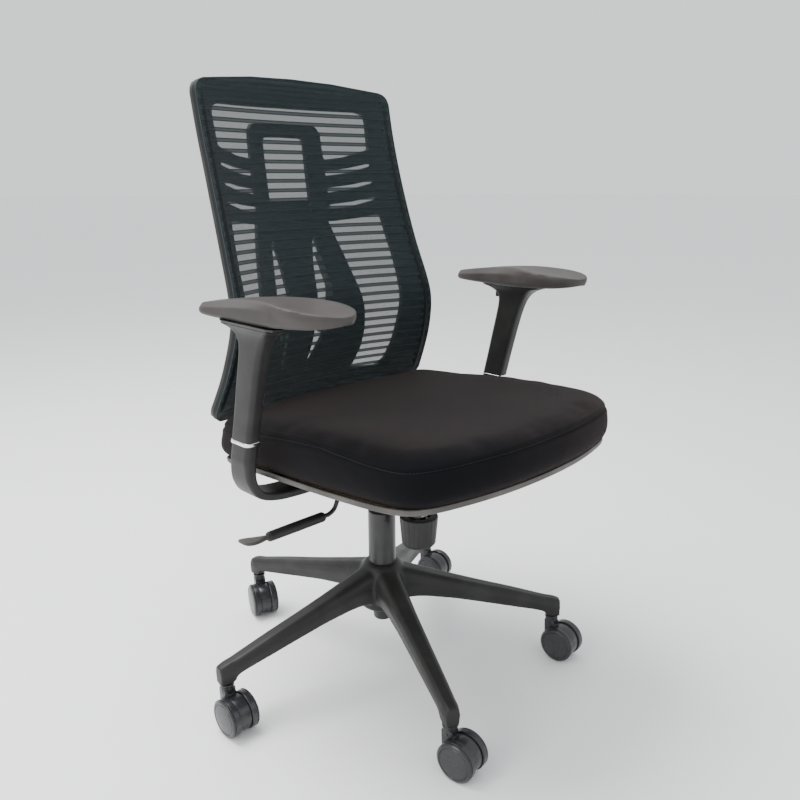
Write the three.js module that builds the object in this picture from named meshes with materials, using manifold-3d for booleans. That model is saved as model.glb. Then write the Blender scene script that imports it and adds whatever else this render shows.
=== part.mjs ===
// Swivel office chair with a mesh back, as an assembly of separate closed pieces.
// Millimetres, +Z up, the sitter faces -Y, floor at Z = 0. Pieces are drawn about the swivel column
// and the finished group is moved so that its footprint is centred on the origin.
import * as THREE from "three";
import { mergeVertices } from "three/addons/utils/BufferGeometryUtils.js";
import Module from "manifold-3d";

const wasm = await Module();
wasm.setup();

// ---- driving dimensions ---------------------------------------------------------------------
const GAP = 0.3; // clearance left between neighbouring pieces
const [FINE, COARSE] = [24, 12]; // sides of large and of small round pieces
const COLUMN = { x: 15, y: 18 }; // where the swivel axis stands in the finished frame
const BASE = { radius: 320, firstArm: 101.3, hubTop: 202, hubFloor: 112, armTop: 115, socket: 79 };
const CASTER = { wheel: 32, width: 14, band: 22, trail: 24, collar: 74, turn: [-20, 0, 8, 5, 12] };
const LIFT = { tube: 25, foot: 17, footZ: 84, taperZ: 150, tubeTop: 300, bore: 16.5, cylinder: 14, top: 352 };
const SEAT = { z: 404, tilt: 4, halfWidth: 250, front: -368, rear: 138, boardTop: 31, edge: 98, crown: 107 };
const TILT = { y: -40, z: 376, radius: 6, halfLength: 70 };
const KNOB = { y: -94, floor: 261, top: 318, radius: 33, taper: 4 };
const LEVER = { wire: 4, sleeve: 7, z: 328, sleeveIn: -128, sleeveOut: -247, tip: -298 };
const ARM = { x: 290, ringZ: 500, rake: 0.25, depth: 46, thick: 24, padZ: 681 };
const BACK = { bottom: 478, top: 1028, crown: 14, plate: 9, rim: 14, mesh: 1.5 };

// Side edge of the back rest, read upwards: height, how far back it stands, half its width.
const SIDE = [
  [478, 152, 243], [546, 119, 234], [593, 101, 229], [644, 90, 223], [686, 95, 219],
  [770, 125, 212], [866, 155, 208], [952, 178, 207], [1028, 193, 207], [1050, 198, 207],
];

// ---- geometry helpers -----------------------------------------------------------------------
const v3 = (x, y, z) => new THREE.Vector3(x, y, z);
const rad = THREE.MathUtils.degToRad;
const lerp = THREE.MathUtils.lerp;

// Straight-line reading of a table whose first column rises.
function table(rows, at, column) {
  let i = 1;
  while (i < rows.length - 1 && rows[i][0] < at) i++;
  const [a, b] = [rows[i - 1], rows[i]];
  return lerp(a[column], b[column], (at - a[0]) / (b[0] - a[0]));
}

// The same reading through a smooth curve, so that neighbouring bands meet without a crease.
function smooth(rows, column) {
  const curve = new THREE.SplineCurve(rows.map((r) => new THREE.Vector2(r[0], r[column])));
  const points = curve.getPoints(200).map((p) => [p.x, p.y]);
  return (at) => table(points, at, 1);
}

// three.js geometry to manifold-3d solid, turned the right way out.
function solid(geometry) {
  const plain = new THREE.BufferGeometry();
  const source = geometry.index ? geometry.toNonIndexed() : geometry;
  plain.setAttribute("position", source.getAttribute("position"));
  const merged = mergeVertices(plain, 1e-3);
  const triVerts = new Uint32Array(merged.index.array);
  const build = () =>
    new wasm.Manifold(
      new wasm.Mesh({ numProp: 3, vertProperties: merged.attributes.position.array, triVerts }),
    );
  let made = build();
  if (made.volume() < 0) {
    for (let i = 0; i < triVerts.length; i += 3)
      [triVerts[i + 1], triVerts[i + 2]] = [triVerts[i + 2], triVerts[i + 1]];
    made = build();
  }
  return made;
}

function geometryOf(manifold) {
  const mesh = manifold.getMesh();
  const geometry = new THREE.BufferGeometry();
  geometry.setAttribute("position", new THREE.BufferAttribute(mesh.vertProperties, 3));
  geometry.setIndex(new THREE.BufferAttribute(mesh.triVerts, 1));
  return geometry;
}

const cut = (body, ...tools) => tools.reduce((a, b) => a.subtract(b), body);
const join = (...bodies) => bodies.reduce((a, b) => a.add(b));

// Turned solid about +Z from [radius, height] corners.
function turned(corners, segments = FINE) {
  const points = corners.map(([r, z]) => new THREE.Vector2(r, z));
  const [first, last] = [points[0], points.at(-1)];
  if (first.x > 0 || last.x > 0) points.push(first.clone());
  return solid(new THREE.LatheGeometry(points, segments).rotateX(Math.PI / 2));
}

const rod = (radius, z0, z1, segments = COARSE) =>
  turned([[0, z0], [radius, z0], [radius, z1], [0, z1]], segments);

const box = (x0, x1, y0, y1, z0, z1) =>
  solid(new THREE.BoxGeometry(x1 - x0, y1 - y0, z1 - z0)
    .translate((x0 + x1) / 2, (y0 + y1) / 2, (z0 + z1) / 2));

// Closed solid through a list of rings that all have the same number of corners.
function loft(rings) {
  const n = rings[0].length;
  const corners = [];
  const triangle = (a, b, c) => corners.push(a.x, a.y, a.z, b.x, b.y, b.z, c.x, c.y, c.z);
  for (let k = 1; k < rings.length; k++)
    for (let i = 0; i < n; i++) {
      const [a, b] = [rings[k - 1][i], rings[k - 1][(i + 1) % n]];
      const [c, d] = [rings[k][i], rings[k][(i + 1) % n]];
      triangle(a, b, d);
      triangle(a, d, c);
    }
  for (const [ring, flip] of [[rings[0], true], [rings.at(-1), false]]) {
    const centre = ring.reduce((s, p) => s.add(p), v3(0, 0, 0)).divideScalar(n);
    for (let i = 0; i < n; i++) {
      const [a, b] = [ring[i], ring[(i + 1) % n]];
      flip ? triangle(centre, b, a) : triangle(centre, a, b);
    }
  }
  const geometry = new THREE.BufferGeometry();
  geometry.setAttribute("position", new THREE.Float32BufferAttribute(corners, 3));
  return solid(geometry);
}

// Corners of a rounded rectangle, w along the first axis and h along the second.
function roundedCorners(w, h, r, steps = 2) {
  const out = [];
  for (const [sx, sy, start] of [[1, 1, 0], [-1, 1, 90], [-1, -1, 180], [1, -1, 270]])
    for (let i = 0; i <= steps; i++) {
      const a = rad(start + (90 * i) / steps);
      out.push([sx * (w / 2 - r) + r * Math.cos(a), sy * (h / 2 - r) + r * Math.sin(a)]);
    }
  return out;
}

// Bar that follows points lying in a plane; side is the direction square to that plane.
function bar(points, side, section) {
  const rings = points.map((p, i) => {
    const along = points[Math.min(i + 1, points.length - 1)].clone()
      .sub(points[Math.max(i - 1, 0)]).normalize();
    const normal = along.cross(side).normalize();
    return section(i / (points.length - 1)).map(([a, b]) =>
      p.clone().addScaledVector(side, a).addScaledVector(normal, b));
  });
  return loft(rings);
}

const circle = (radius, n = 10) =>
  Array.from({ length: n }, (_, i) => [
    radius * Math.cos((2 * Math.PI * i) / n), radius * Math.sin((2 * Math.PI * i) / n)]);

const curvePoints = (points, n) => new THREE.CatmullRomCurve3(points).getSpacedPoints(n);

// Closed shape through [x, z] corners.
function outline(corners) {
  return new THREE.Shape(corners.map(([x, z]) => new THREE.Vector2(x, z)));
}

const mirrored = (corners) => corners.map(([x, z]) => [-x, z]);

// Both halves of a symmetric outline from its +X half, read from one end to the other.
const whole = (half) => [...half, ...mirrored(half.filter(([x]) => x > 0)).reverse()];

// Flat outline of [x, z] corners pushed through along Y.
function prism(corners, y0 = -50, y1 = 450) {
  const geometry = new THREE.ExtrudeGeometry(outline(corners), { depth: y1 - y0, bevelEnabled: false });
  return solid(geometry.rotateX(Math.PI / 2).translate(0, y1, 0));
}

// Curved plate between two surfaces, cut to an outline and pierced by windows.
function plate(near, far, corners, windows = []) {
  return cut(slab(near, far).intersect(prism(corners)), ...windows.map((w) => prism(w)));
}

// Curved plate between two surfaces y = near(x, z) and y = far(x, z).
function slab(near, far, halfWidth = 252, z0 = 468, z1 = 1052, nx = 10, nz = 15) {
  const at = (f, i, k) => {
    const x = lerp(-halfWidth, halfWidth, i / nx);
    const z = lerp(z0, z1, k / nz);
    return v3(x, f(x, z), z);
  };
  const corners = [];
  const quad = (a, b, c, d) =>
    [a, b, c, a, c, d].forEach((p) => corners.push(p.x, p.y, p.z));
  for (let i = 0; i < nx; i++)
    for (let k = 0; k < nz; k++) {
      quad(at(near, i, k), at(near, i + 1, k), at(near, i + 1, k + 1), at(near, i, k + 1));
      quad(at(far, i, k), at(far, i, k + 1), at(far, i + 1, k + 1), at(far, i + 1, k));
    }
  for (let i = 0; i < nx; i++) {
    quad(at(far, i, 0), at(far, i + 1, 0), at(near, i + 1, 0), at(near, i, 0));
    quad(at(near, i, nz), at(near, i + 1, nz), at(far, i + 1, nz), at(far, i, nz));
  }
  for (let k = 0; k < nz; k++) {
    quad(at(near, 0, k), at(near, 0, k + 1), at(far, 0, k + 1), at(far, 0, k));
    quad(at(far, nx, k), at(far, nx, k + 1), at(near, nx, k + 1), at(near, nx, k));
  }
  const geometry = new THREE.BufferGeometry();
  geometry.setAttribute("position", new THREE.Float32BufferAttribute(corners, 3));
  return solid(geometry);
}

// ---- star base and casters ------------------------------------------------------------------
const armAngles = Array.from({ length: 5 }, (_, i) => BASE.firstArm + 72 * i);

function starArm(degrees) {
  const heights = [[20, 192, 128, 54], [60, 181, 136, 46], [180, 151, 116, 37], [300, 119, 93, 28]];
  const rings = heights.map(([r, top, floor, width]) => {
    const section = [
      [0.24, 1], [0.42, 0.86], [0.5, 0.55], [0.4, 0], [-0.4, 0], [-0.5, 0.55], [-0.42, 0.86], [-0.24, 1]];
    return section.map(([a, b]) => v3(r, a * width, lerp(floor, top, b)));
  });
  const end = turned([[0, BASE.socket], [13.5, BASE.socket], [14.5, 84], [14.5, 112], [12, BASE.armTop],
    [0, BASE.armTop]], COARSE).translate(BASE.radius, 0, 0);
  const socket = rod(5.8, BASE.socket - 1, 108).translate(BASE.radius, 0, 0);
  const neck = loft([[300, 14, BASE.socket + 6], [296, 13, BASE.armTop - 1]].map(([x, half, z]) =>
    [v3(x, half, z), v3(x, -half, z), v3(322, -half, z), v3(322, half, z)]));
  return cut(join(loft(rings), neck, end), socket).rotate(0, 0, degrees);
}

function starBase() {
  const hub = turned([[0, BASE.hubFloor], [40, BASE.hubFloor], [44, 124], [43, 170], [34, 190],
    [33, BASE.hubTop], [0, BASE.hubTop]]);
  const bore = turned([[0, LIFT.footZ], [LIFT.foot + GAP, LIFT.footZ],
    [LIFT.tube + GAP, LIFT.taperZ], [LIFT.tube + GAP, 210], [0, 210]]);
  return cut(join(hub, ...armAngles.map(starArm)), bore);
}

// A caster is drawn with its stem on Z and its wheels trailing towards -Y.
const wheelZ = CASTER.wheel;

function casterStem() {
  return turned([[0, 54], [3.2, 54], [3.2, 66], [5.5, 66], [5.5, CASTER.collar], [11, CASTER.collar],
    [11.5, 78.5], [5.5, 78.5], [5.5, 105], [0, 105]], COARSE);
}

function casterHood() {
  const shape = new THREE.Shape();
  shape.absarc(-CASTER.trail, wheelZ, 29, rad(62), rad(298), false);
  shape.lineTo(-2, 22);
  shape.lineTo(7, 40);
  shape.lineTo(8.5, 72);
  shape.lineTo(-10, 72);
  const band = solid(new THREE.ExtrudeGeometry(shape, { depth: CASTER.band - 1, bevelEnabled: false,
    curveSegments: 7 }).translate(0, 0, -(CASTER.band - 1) / 2)
    .rotateX(Math.PI / 2).rotateZ(Math.PI / 2));
  const boss = turned([[0, 65], [10.5, 65], [11, 67], [11, CASTER.collar - GAP],
    [0, CASTER.collar - GAP]], COARSE);
  const bore = turned([[0, 53], [3.5, 53], [3.5, 65.7], [5.8, 65.7], [5.8, 80], [0, 80]], COARSE);
  return cut(join(band, boss), bore, acrossX(rod(4.3, -20, 20), -CASTER.trail, wheelZ));
}

// Turns a solid drawn about Z so that it lies along +X through the given point.
const acrossX = (body, y, z) => body.rotate(0, 90, 0).translate(0, y, z);

const casterAxle = () => acrossX(rod(4, -20, 20), -CASTER.trail, wheelZ);

function casterWheel(sign) {
  const inner = CASTER.band / 2;
  const outer = inner + CASTER.width;
  const profile = [[4.4, inner], [31, inner], [32, outer - 3], [28, outer], [0, outer + 2], [0, 21],
    [4.4, 21]];
  const wheel = turned(profile, 20);
  return acrossX(sign > 0 ? wheel : wheel.mirror([0, 0, 1]), -CASTER.trail, wheelZ);
}

// ---- gas lift -------------------------------------------------------------------------------
function liftTube() {
  return turned([[5.4, LIFT.footZ], [LIFT.foot - 1, LIFT.footZ], [LIFT.foot, LIFT.footZ + 2],
    [LIFT.tube, LIFT.taperZ], [LIFT.tube, LIFT.tubeTop - 1.5], [LIFT.tube - 1.5, LIFT.tubeTop],
    [LIFT.bore + 4, LIFT.tubeTop], [LIFT.bore + 4, 128], [13, 100], [13, 92], [5.4, 92]]);
}

function liftBushing() {
  return turned([[LIFT.cylinder + GAP, 225], [LIFT.bore + 3.7, 225], [LIFT.bore + 3.7, LIFT.tubeTop],
    [LIFT.cylinder + GAP, LIFT.tubeTop]]);
}

const liftRod = () =>
  turned([[0, 85], [5, 85], [5, 92.4], [9, 92.4], [9, 97], [5, 97], [5, 285], [0, 285]], COARSE);

function liftCylinder() {
  const body = turned([[0, 105], [LIFT.cylinder - 1, 105], [LIFT.cylinder, 107], [LIFT.cylinder, 312],
    [LIFT.cylinder - 1.2, LIFT.top], [0, LIFT.top]]);
  return cut(body, rod(5.3, 104, 334), rod(4.3, 338, LIFT.top + 1));
}

const liftButton = () => rod(4, 343, 361);

// ---- tilt mechanism -------------------------------------------------------------------------
// Side outline of the housing as [y, z] corners, grown outwards by d.
function housingSide(d) {
  return [[-150 - d, 352 - d], [-60, 341 - d], [40, 336 - d], [105 + d, 342 - d],
    [105 + d, 347 + d], [20, 372 + d], [-40, 388 + d], [-80, 390 + d], [-150 - d, 382 + d]];
}

function sidePlate(corners, x0, x1) {
  const shape = outline(corners);
  return solid(new THREE.ExtrudeGeometry(shape, { depth: x1 - x0, bevelEnabled: false })
    .rotateX(Math.PI / 2).rotateZ(Math.PI / 2).translate(x0, 0, 0));
}

function mechHousing() {
  const shell = sidePlate(housingSide(0), -58, 58);
  const hollow = sidePlate(
    [[-146, 356], [-60, 345], [40, 340], [101, 345], [101, 400], [-146, 400]], -54, 54);
  const socket = rod(23, 322, 350, FINE);
  const column = turned([[0, 300], [LIFT.cylinder + 0.1, 300], [LIFT.cylinder + 0.1, 312],
    [LIFT.cylinder - 1.1 + GAP, LIFT.top + 2], [0, LIFT.top + 2]]);
  const leverHole = box(-70, 0, -7, 7, 352, 372);
  const boltSlot = box(-9, 9, KNOB.y - 26, KNOB.y + 9, 330, 360);
  return cut(join(cut(shell, hollow), socket), column, leverHole, boltSlot,
    acrossX(rod(TILT.radius + GAP, -80, 80), TILT.y, TILT.z));
}

const tiltAxle = () => acrossX(rod(TILT.radius, -TILT.halfLength, TILT.halfLength), TILT.y, TILT.z);

// Places a solid drawn in the plane of the seat (z measured up from it) on the chair.
const onSeat = (body) => body.rotate(-SEAT.tilt, 0, 0).translate(0, 0, SEAT.z);

function seatPlate() {
  const plate = onSeat(box(-95, 95, -150, 150, 0, 4));
  const ears = [-1, 1].map((s) =>
    sidePlate([[-62, 366], [-18, 366], [10, 405], [-90, 410.5]], s > 0 ? 60 : -64, s > 0 ? 64 : -60));
  return cut(join(plate, ...ears), acrossX(rod(TILT.radius + GAP, -80, 80), TILT.y, TILT.z),
    rod(5.1, 380, 420).translate(0, KNOB.y, 0));
}

const tensionBolt = () => rod(4.8, 264, 406).translate(0, KNOB.y, 0);

function tensionKnob() {
  const flutes = 18;
  const ring = (r, z) => Array.from({ length: flutes * 2 }, (_, i) => {
    const a = (Math.PI * i) / flutes;
    const q = r - (i % 2 ? 1 : 0);
    return v3(q * Math.cos(a), q * Math.sin(a), z);
  });
  const low = KNOB.radius - KNOB.taper;
  const body = loft([ring(low - 4, KNOB.floor), ring(low, KNOB.floor + 5), ring(KNOB.radius, KNOB.top)]);
  return cut(body, rod(21, 269, 330, FINE), rod(5.1, 263.5, 280)).translate(0, KNOB.y, 0);
}

function tensionSpring() {
  const steps = 5 * 9;
  const helix = Array.from({ length: steps + 1 }, (_, i) => {
    const a = (2 * Math.PI * i) / 9;
    return v3(15 * Math.cos(a), 15 * Math.sin(a), lerp(272.5, 338, i / steps));
  });
  const ring = new THREE.Shape(circle(2.4, 5).map(([x, y]) => new THREE.Vector2(x, y)));
  return solid(new THREE.ExtrudeGeometry(ring, { steps, bevelEnabled: false,
    extrudePath: new THREE.CatmullRomCurve3(helix) })).translate(0, KNOB.y, 0);
}

// ---- lever ----------------------------------------------------------------------------------
function leverRod() {
  const path = curvePoints([v3(30, 0, 366), v3(-40, 0, 365), v3(-88, 0, 360), v3(-101, 0, 350),
    v3(-110, 0, 334), v3(-122, 0, LEVER.z), v3(-135, 0, LEVER.z), v3(-235, 0, LEVER.z)], 18);
  return bar(path, v3(0, 1, 0), () => circle(LEVER.wire, 8));
}

function leverSleeve() {
  const r = LEVER.sleeve;
  const bore = LEVER.wire + 2 * GAP;
  return turned([[bore, 0], [r - 1, 0], [r, 2], [r, 117], [r - 1, 119],
    [bore, 119]], COARSE).rotate(0, -90, 0).translate(LEVER.sleeveIn, 0, LEVER.z);
}

function leverPaddle() {
  const stations = [[-247.3, 8, 8, 0], [-258, 14, 8, 1], [-272, 24, 6, 3], [-286, 28, 5, 5],
    [LEVER.tip, 20, 4, 8]];
  return loft(stations.map(([x, width, thick, lift]) =>
    roundedCorners(width, thick, thick * 0.45).map(([a, b]) => v3(x, a, LEVER.z + lift + b))));
}

// ---- seat -----------------------------------------------------------------------------------
// Plan of the cushion as [x, y] corners, scaled in by an inset.
function seatPlan(inset) {
  const half = [[0, -368], [90, -363], [170, -347], [215, -329], [237, -304], [247, -255], [250, -160],
    [248, -60], [246, 40], [243, 95], [233, 127], [204, 138], [110, SEAT.rear], [0, SEAT.rear]];
  const closed = new THREE.CatmullRomCurve3(
    [...half, ...mirrored(half.slice(1, -1)).reverse()].map(([x, y]) => v3(x, y, 0)), true);
  const centre = (SEAT.front + SEAT.rear) / 2;
  const [kx, ky] = [1 - inset / SEAT.halfWidth, 1 - inset / ((SEAT.rear - SEAT.front) / 2)];
  return closed.getPoints(44).slice(0, -1).map((p) => [p.x * kx, centre + (p.y - centre) * ky]);
}

const seatRing = (inset, z) => seatPlan(inset).map(([x, y]) => v3(x, y, z));

function seatPan() {
  const shell = (rows) => loft(rows.map(([inset, z]) => seatRing(inset, z)));
  const outside = shell([[80, 4 + GAP], [60, 8], [14, 24], [6, SEAT.boardTop]]);
  const inside = shell([[78, 8.4], [64, 12], [20, 24.5], [11, SEAT.boardTop + 1]]);
  return onSeat(cut(outside, inside));
}

const seatBoard = () => onSeat(loft([seatRing(21, 25.2), seatRing(14, SEAT.boardTop)]));

function seatCushion() {
  const top = SEAT.crown;
  return onSeat(loft([seatRing(7, SEAT.boardTop + GAP), seatRing(1, 38), seatRing(-2, 60),
    seatRing(3, 84), seatRing(8, SEAT.edge), seatRing(26, top - 1.5), seatRing(75, top)]));
}

// ---- armrests -------------------------------------------------------------------------------
const armY = (z) => -18 - ARM.rake * (z - ARM.ringZ);

function armBracket(s) {
  const path = curvePoints([v3(108, 0, 394), v3(180, 0, 394), v3(235, 0, 399), v3(268, 0, 412),
    v3(286, 0, 440), v3(290, 0, 470), v3(290, 0, 495)], 12).map((p) => v3(p.x * s, armY(p.z), p.z));
  const foot = bar(path, v3(0, 1, 0), (t) => {
    const upright = THREE.MathUtils.smoothstep(t, 0.45, 0.9);
    return roundedCorners(lerp(52, ARM.depth - 2, upright), lerp(13, ARM.thick - 2, upright), 5, 2);
  });
  const post = loft([490, 640].map((z) =>
    roundedCorners(30, 11, 4, 2).map(([a, b]) => v3(s * ARM.x + b, armY(z) + a, z))));
  return join(foot, post);
}

const armSection = (s, z, depth, thick, radius, shift = 0) =>
  roundedCorners(depth, thick, radius).map(([a, b]) => v3(s * ARM.x + b, armY(z) + shift + a, z));

function armRing(s) {
  const [z0, z1] = [ARM.ringZ + 0.6, ARM.ringZ + 6];
  const outside = loft([z0, z1].map((z) => armSection(s, z, ARM.depth + 1, ARM.thick + 1, 9)));
  const inside = loft([z0 - 1, z1 + 1].map((z) => armSection(s, z, 32, 13, 4)));
  return cut(outside, inside);
}

function armSleeve(s) {
  const rows = [[ARM.ringZ + 6.4, ARM.depth, 24, 8, 0], [580, 48, 24, 8, 0], [640, 52, 24, 8, -1],
    [662, 62, 26, 9, -2], [674, 88, 31, 11, 0], [ARM.padZ, 132, 38, 14, 4]];
  const outside = loft(rows.map(([z, ...section]) => armSection(s, z, ...section)));
  const inside = loft([[500, 32, 13, 4], [668, 32, 13, 4]].map(([z, ...section]) =>
    armSection(s, z, ...section)));
  const triggerSlot = box(s * ARM.x - 7.3, s * ARM.x + 7.3, armY(660) + 12, armY(660) + 60, 656, 668.4);
  return cut(outside, inside, triggerSlot);
}

function armTrigger(s) {
  const y = armY(660);
  return box(s * ARM.x - 7, s * ARM.x + 7, y + 20, y + 36, 659, 668);
}

// Pads toe in a little towards the front.
const toedIn = (body, s) => body.rotate(0, 0, -5 * s).translate(s * 275, -80, 0);

function armPlate(s) {
  const rows = [[ARM.padZ + GAP, 132, 38, 14], [ARM.padZ + 4.4, 140, 42, 16]];
  return loft(rows.map(([z, ...section]) => armSection(s, z, ...section, 4)));
}

function armPad(s) {
  const stations = [[146, 13, 687, 696], [138, 21, 686, 700], [108, 24, 686, 707], [68, 27, 686, 713],
    [18, 34, 686, 718], [-32, 43, 686, 721], [-82, 48, 688, 719], [-117, 43, 692, 714],
    [-137, 30, 697, 710], [-145, 13, 701, 707]];
  return toedIn(loft(stations.map(([y, half, low, high]) => {
    const r = Math.min((high - low) * 0.45, half * 0.8);
    return roundedCorners(2 * half, high - low, r).map(([a, b]) => v3(a, y, (low + high) / 2 + b));
  })), s);
}

// ---- back rest ------------------------------------------------------------------------------
const edgeY = smooth(SIDE, 1);
const edgeX = smooth(SIDE, 2);
const bow = (x, z) => Math.max(0, 1 - (x / edgeX(z)) ** 2);

const meshDepth = [[478, 45], [650, 55], [800, 45], [1050, 22]];
const frameDepth = [[478, 90], [560, 94], [700, 95], [800, 85], [960, 59], [1050, 50]];
const meshY = (x, z) => edgeY(z) + table(meshDepth, z, 1) * bow(x, z);
const frameY = (x, z) => edgeY(z) + BACK.rim + table(frameDepth, z, 1) * bow(x, z) ** 1.4;

// Outer outline of the back rest, drawn in from its edge by d.
function backOutline(d) {
  const [low, top] = [BACK.bottom + d, BACK.top - d];
  const side = Array.from({ length: 12 }, (_, i) => {
    const z = lerp(low + 18, top - 18, i / 11);
    return [edgeX(z) - d, z];
  });
  const [wide, narrow] = [side[0][0], side.at(-1)[0]];
  return whole([[0, low - 3], [wide - 60, low], [wide - 14, low + 3], [wide - 3, low + 9], ...side,
    [narrow - 3, top - 8], [narrow - 9, top - 2], [narrow - 18, top + 1],
    [narrow - 95, top + BACK.crown * 0.75], [0, top + BACK.crown]]);
}

function backMesh() {
  return plate(meshY, (x, z) => meshY(x, z) + BACK.mesh, backOutline(1));
}

function backRim() {
  const near = (x, z) => meshY(x, z) + BACK.mesh + GAP;
  return plate(near, (x, z) => frameY(x, z) - GAP, backOutline(0), [backOutline(14)]);
}

// Windows of the moulded frame on the +X side as [x, z] corners.
function frameWindows() {
  const top = [[0, 997], [150, 995], [165, 990], [168, 978], [166, 928], [120, 914], [80, 909],
    [78, 955], [70, 968], [0, 971]];
  const slits = [0, 1, 2].map((k) => {
    const z = 885 - 30.5 * k;
    return [[80, z - 5], [122, z], [167, z + 13], [167, z + 19], [122, z + 9], [80, z + 4]];
  });
  const low = [[84, 798], [168, 812], [176, 730], [179, 640], [179, 560], [176, 526],
    [166, 510], [0, 503]];
  return { top, slits, low };
}

function backFrame() {
  const { top, slits, low } = frameWindows();
  const loop = whole([[46, 812], [46, 940], [42, 946]]);
  const windows = [whole(top), whole(low), loop, ...slits, ...slits.map(mirrored)];
  return plate(frameY, (x, z) => frameY(x, z) + BACK.plate, backOutline(2), windows);
}

function backSpine() {
  const half = [[62, 836], [78, 806], [95, 744], [108, 690], [121, 637], [128, 590], [129, 550],
    [124, 515], [112, 484]];
  const slit = [[47, 785], [36, 720], [33, 680], [31, 620], [30, 565], [24, 500], [38, 540],
    [53, 590], [63, 640], [65, 676], [58, 722]];
  const flange = [[60, 740], [67, 740], [76, 680], [73, 636], [62, 586], [56, 586], [66, 640], [69, 678]];
  const near = (x, z) => frameY(x, z) + BACK.plate + GAP;
  const body = plate(near, (x, z) => near(x, z) + 10, whole(half), [slit, mirrored(slit)]);
  const ribs = [flange, mirrored(flange)].map((corners) =>
    plate(near, (x, z) => near(x, z) + 30, corners));
  return join(body, ...ribs);
}

function backBar() {
  const behind = (z) => frameY(0, z) + BACK.plate + 10 + 2 * GAP + 9;
  const path = curvePoints([v3(0, 90, 391), v3(0, 165, 385.5), v3(0, 215, 398), v3(0, 252, 432),
    v3(0, behind(478) - 1, 478), v3(0, behind(520), 520), v3(0, behind(560), 560),
    v3(0, behind(600), 600)], 14);
  return bar(path, v3(1, 0, 0), (t) => roundedCorners(lerp(84, 64, t), lerp(12, 15, t), 5, 2));
}

// ---- materials ------------------------------------------------------------------------------
const material = (color, metalness, roughness) =>
  new THREE.MeshStandardMaterial({ color, metalness, roughness });
const plastic = material(0x1d1e20, 0, 0.6);
const nylon = material(0x17181a, 0, 0.35);
const steel = material(0x8d9094, 1, 0.35);
const painted = material(0x121315, 0.3, 0.4);
const chrome = material(0xd8dadd, 1, 0.12);
const fabric = material(0x15161a, 0, 0.9);
const netting = material(0x1a2424, 0, 0.85);
const padding = material(0x2b2c2e, 0, 0.7);

// ---- assembly -------------------------------------------------------------------------------
const chair = new THREE.Group();
chair.name = "office_chair";
chair.position.set(COLUMN.x, COLUMN.y, 0);

function add(name, body, look) {
  const mesh = new THREE.Mesh(geometryOf(body), look);
  mesh.name = name;
  chair.add(mesh);
}

add("star_base", starBase(), plastic);
armAngles.forEach((angle, i) => {
  const place = (body) =>
    body.rotate(0, 0, CASTER.turn[i]).translate(BASE.radius * Math.cos(rad(angle)),
      BASE.radius * Math.sin(rad(angle)), 0);
  add(`caster_${i + 1}_stem`, place(casterStem()), steel);
  add(`caster_${i + 1}_hood`, place(casterHood()), nylon);
  add(`caster_${i + 1}_axle`, place(casterAxle()), steel);
  add(`caster_${i + 1}_wheel_a`, place(casterWheel(-1)), nylon);
  add(`caster_${i + 1}_wheel_b`, place(casterWheel(1)), nylon);
});

add("lift_tube", liftTube(), painted);
add("lift_bushing", liftBushing(), nylon);
add("lift_rod", liftRod(), steel);
add("lift_cylinder", liftCylinder(), painted);
add("lift_button", liftButton(), steel);

add("mech_housing", mechHousing(), painted);
add("tilt_axle", tiltAxle(), steel);
add("seat_plate", seatPlate(), painted);
add("tension_bolt", tensionBolt(), steel);
add("tension_knob", tensionKnob(), nylon);
add("tension_spring", tensionSpring(), steel);
add("lever_rod", leverRod(), painted);
add("lever_sleeve", leverSleeve(), nylon);
add("lever_paddle", leverPaddle(), plastic);

add("seat_pan", seatPan(), plastic);
add("seat_board", seatBoard(), plastic);
add("seat_cushion", seatCushion(), fabric);

for (const [side, s] of [["right", -1], ["left", 1]]) {
  add(`arm_bracket_${side}`, armBracket(s), plastic);
  add(`arm_ring_${side}`, armRing(s), chrome);
  add(`arm_sleeve_${side}`, armSleeve(s), plastic);
  add(`arm_trigger_${side}`, armTrigger(s), nylon);
  add(`arm_plate_${side}`, armPlate(s), plastic);
  add(`arm_pad_${side}`, armPad(s), padding);
}

add("back_mesh", backMesh(), netting);
add("back_rim", backRim(), plastic);
add("back_frame", backFrame(), plastic);
add("back_spine", backSpine(), plastic);
add("back_bar", backBar(), plastic);

export default chair;
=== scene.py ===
"""The looks of a swivel office chair: its visible pieces, their finishes, the stage and the camera.

Lengths in the making code are millimetres about the swivel column, and each mesh is scaled to metres
and moved to the column's place when it is made. The sitter faces -Y and +Z is up.
"""
import math

import bmesh
import bpy
import numpy as np
from bpy.props import FloatProperty, FloatVectorProperty, IntProperty, PointerProperty
from mathutils import Matrix, Vector
from mathutils.bvhtree import BVHTree
from mathutils.geometry import delaunay_2d_cdt


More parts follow.
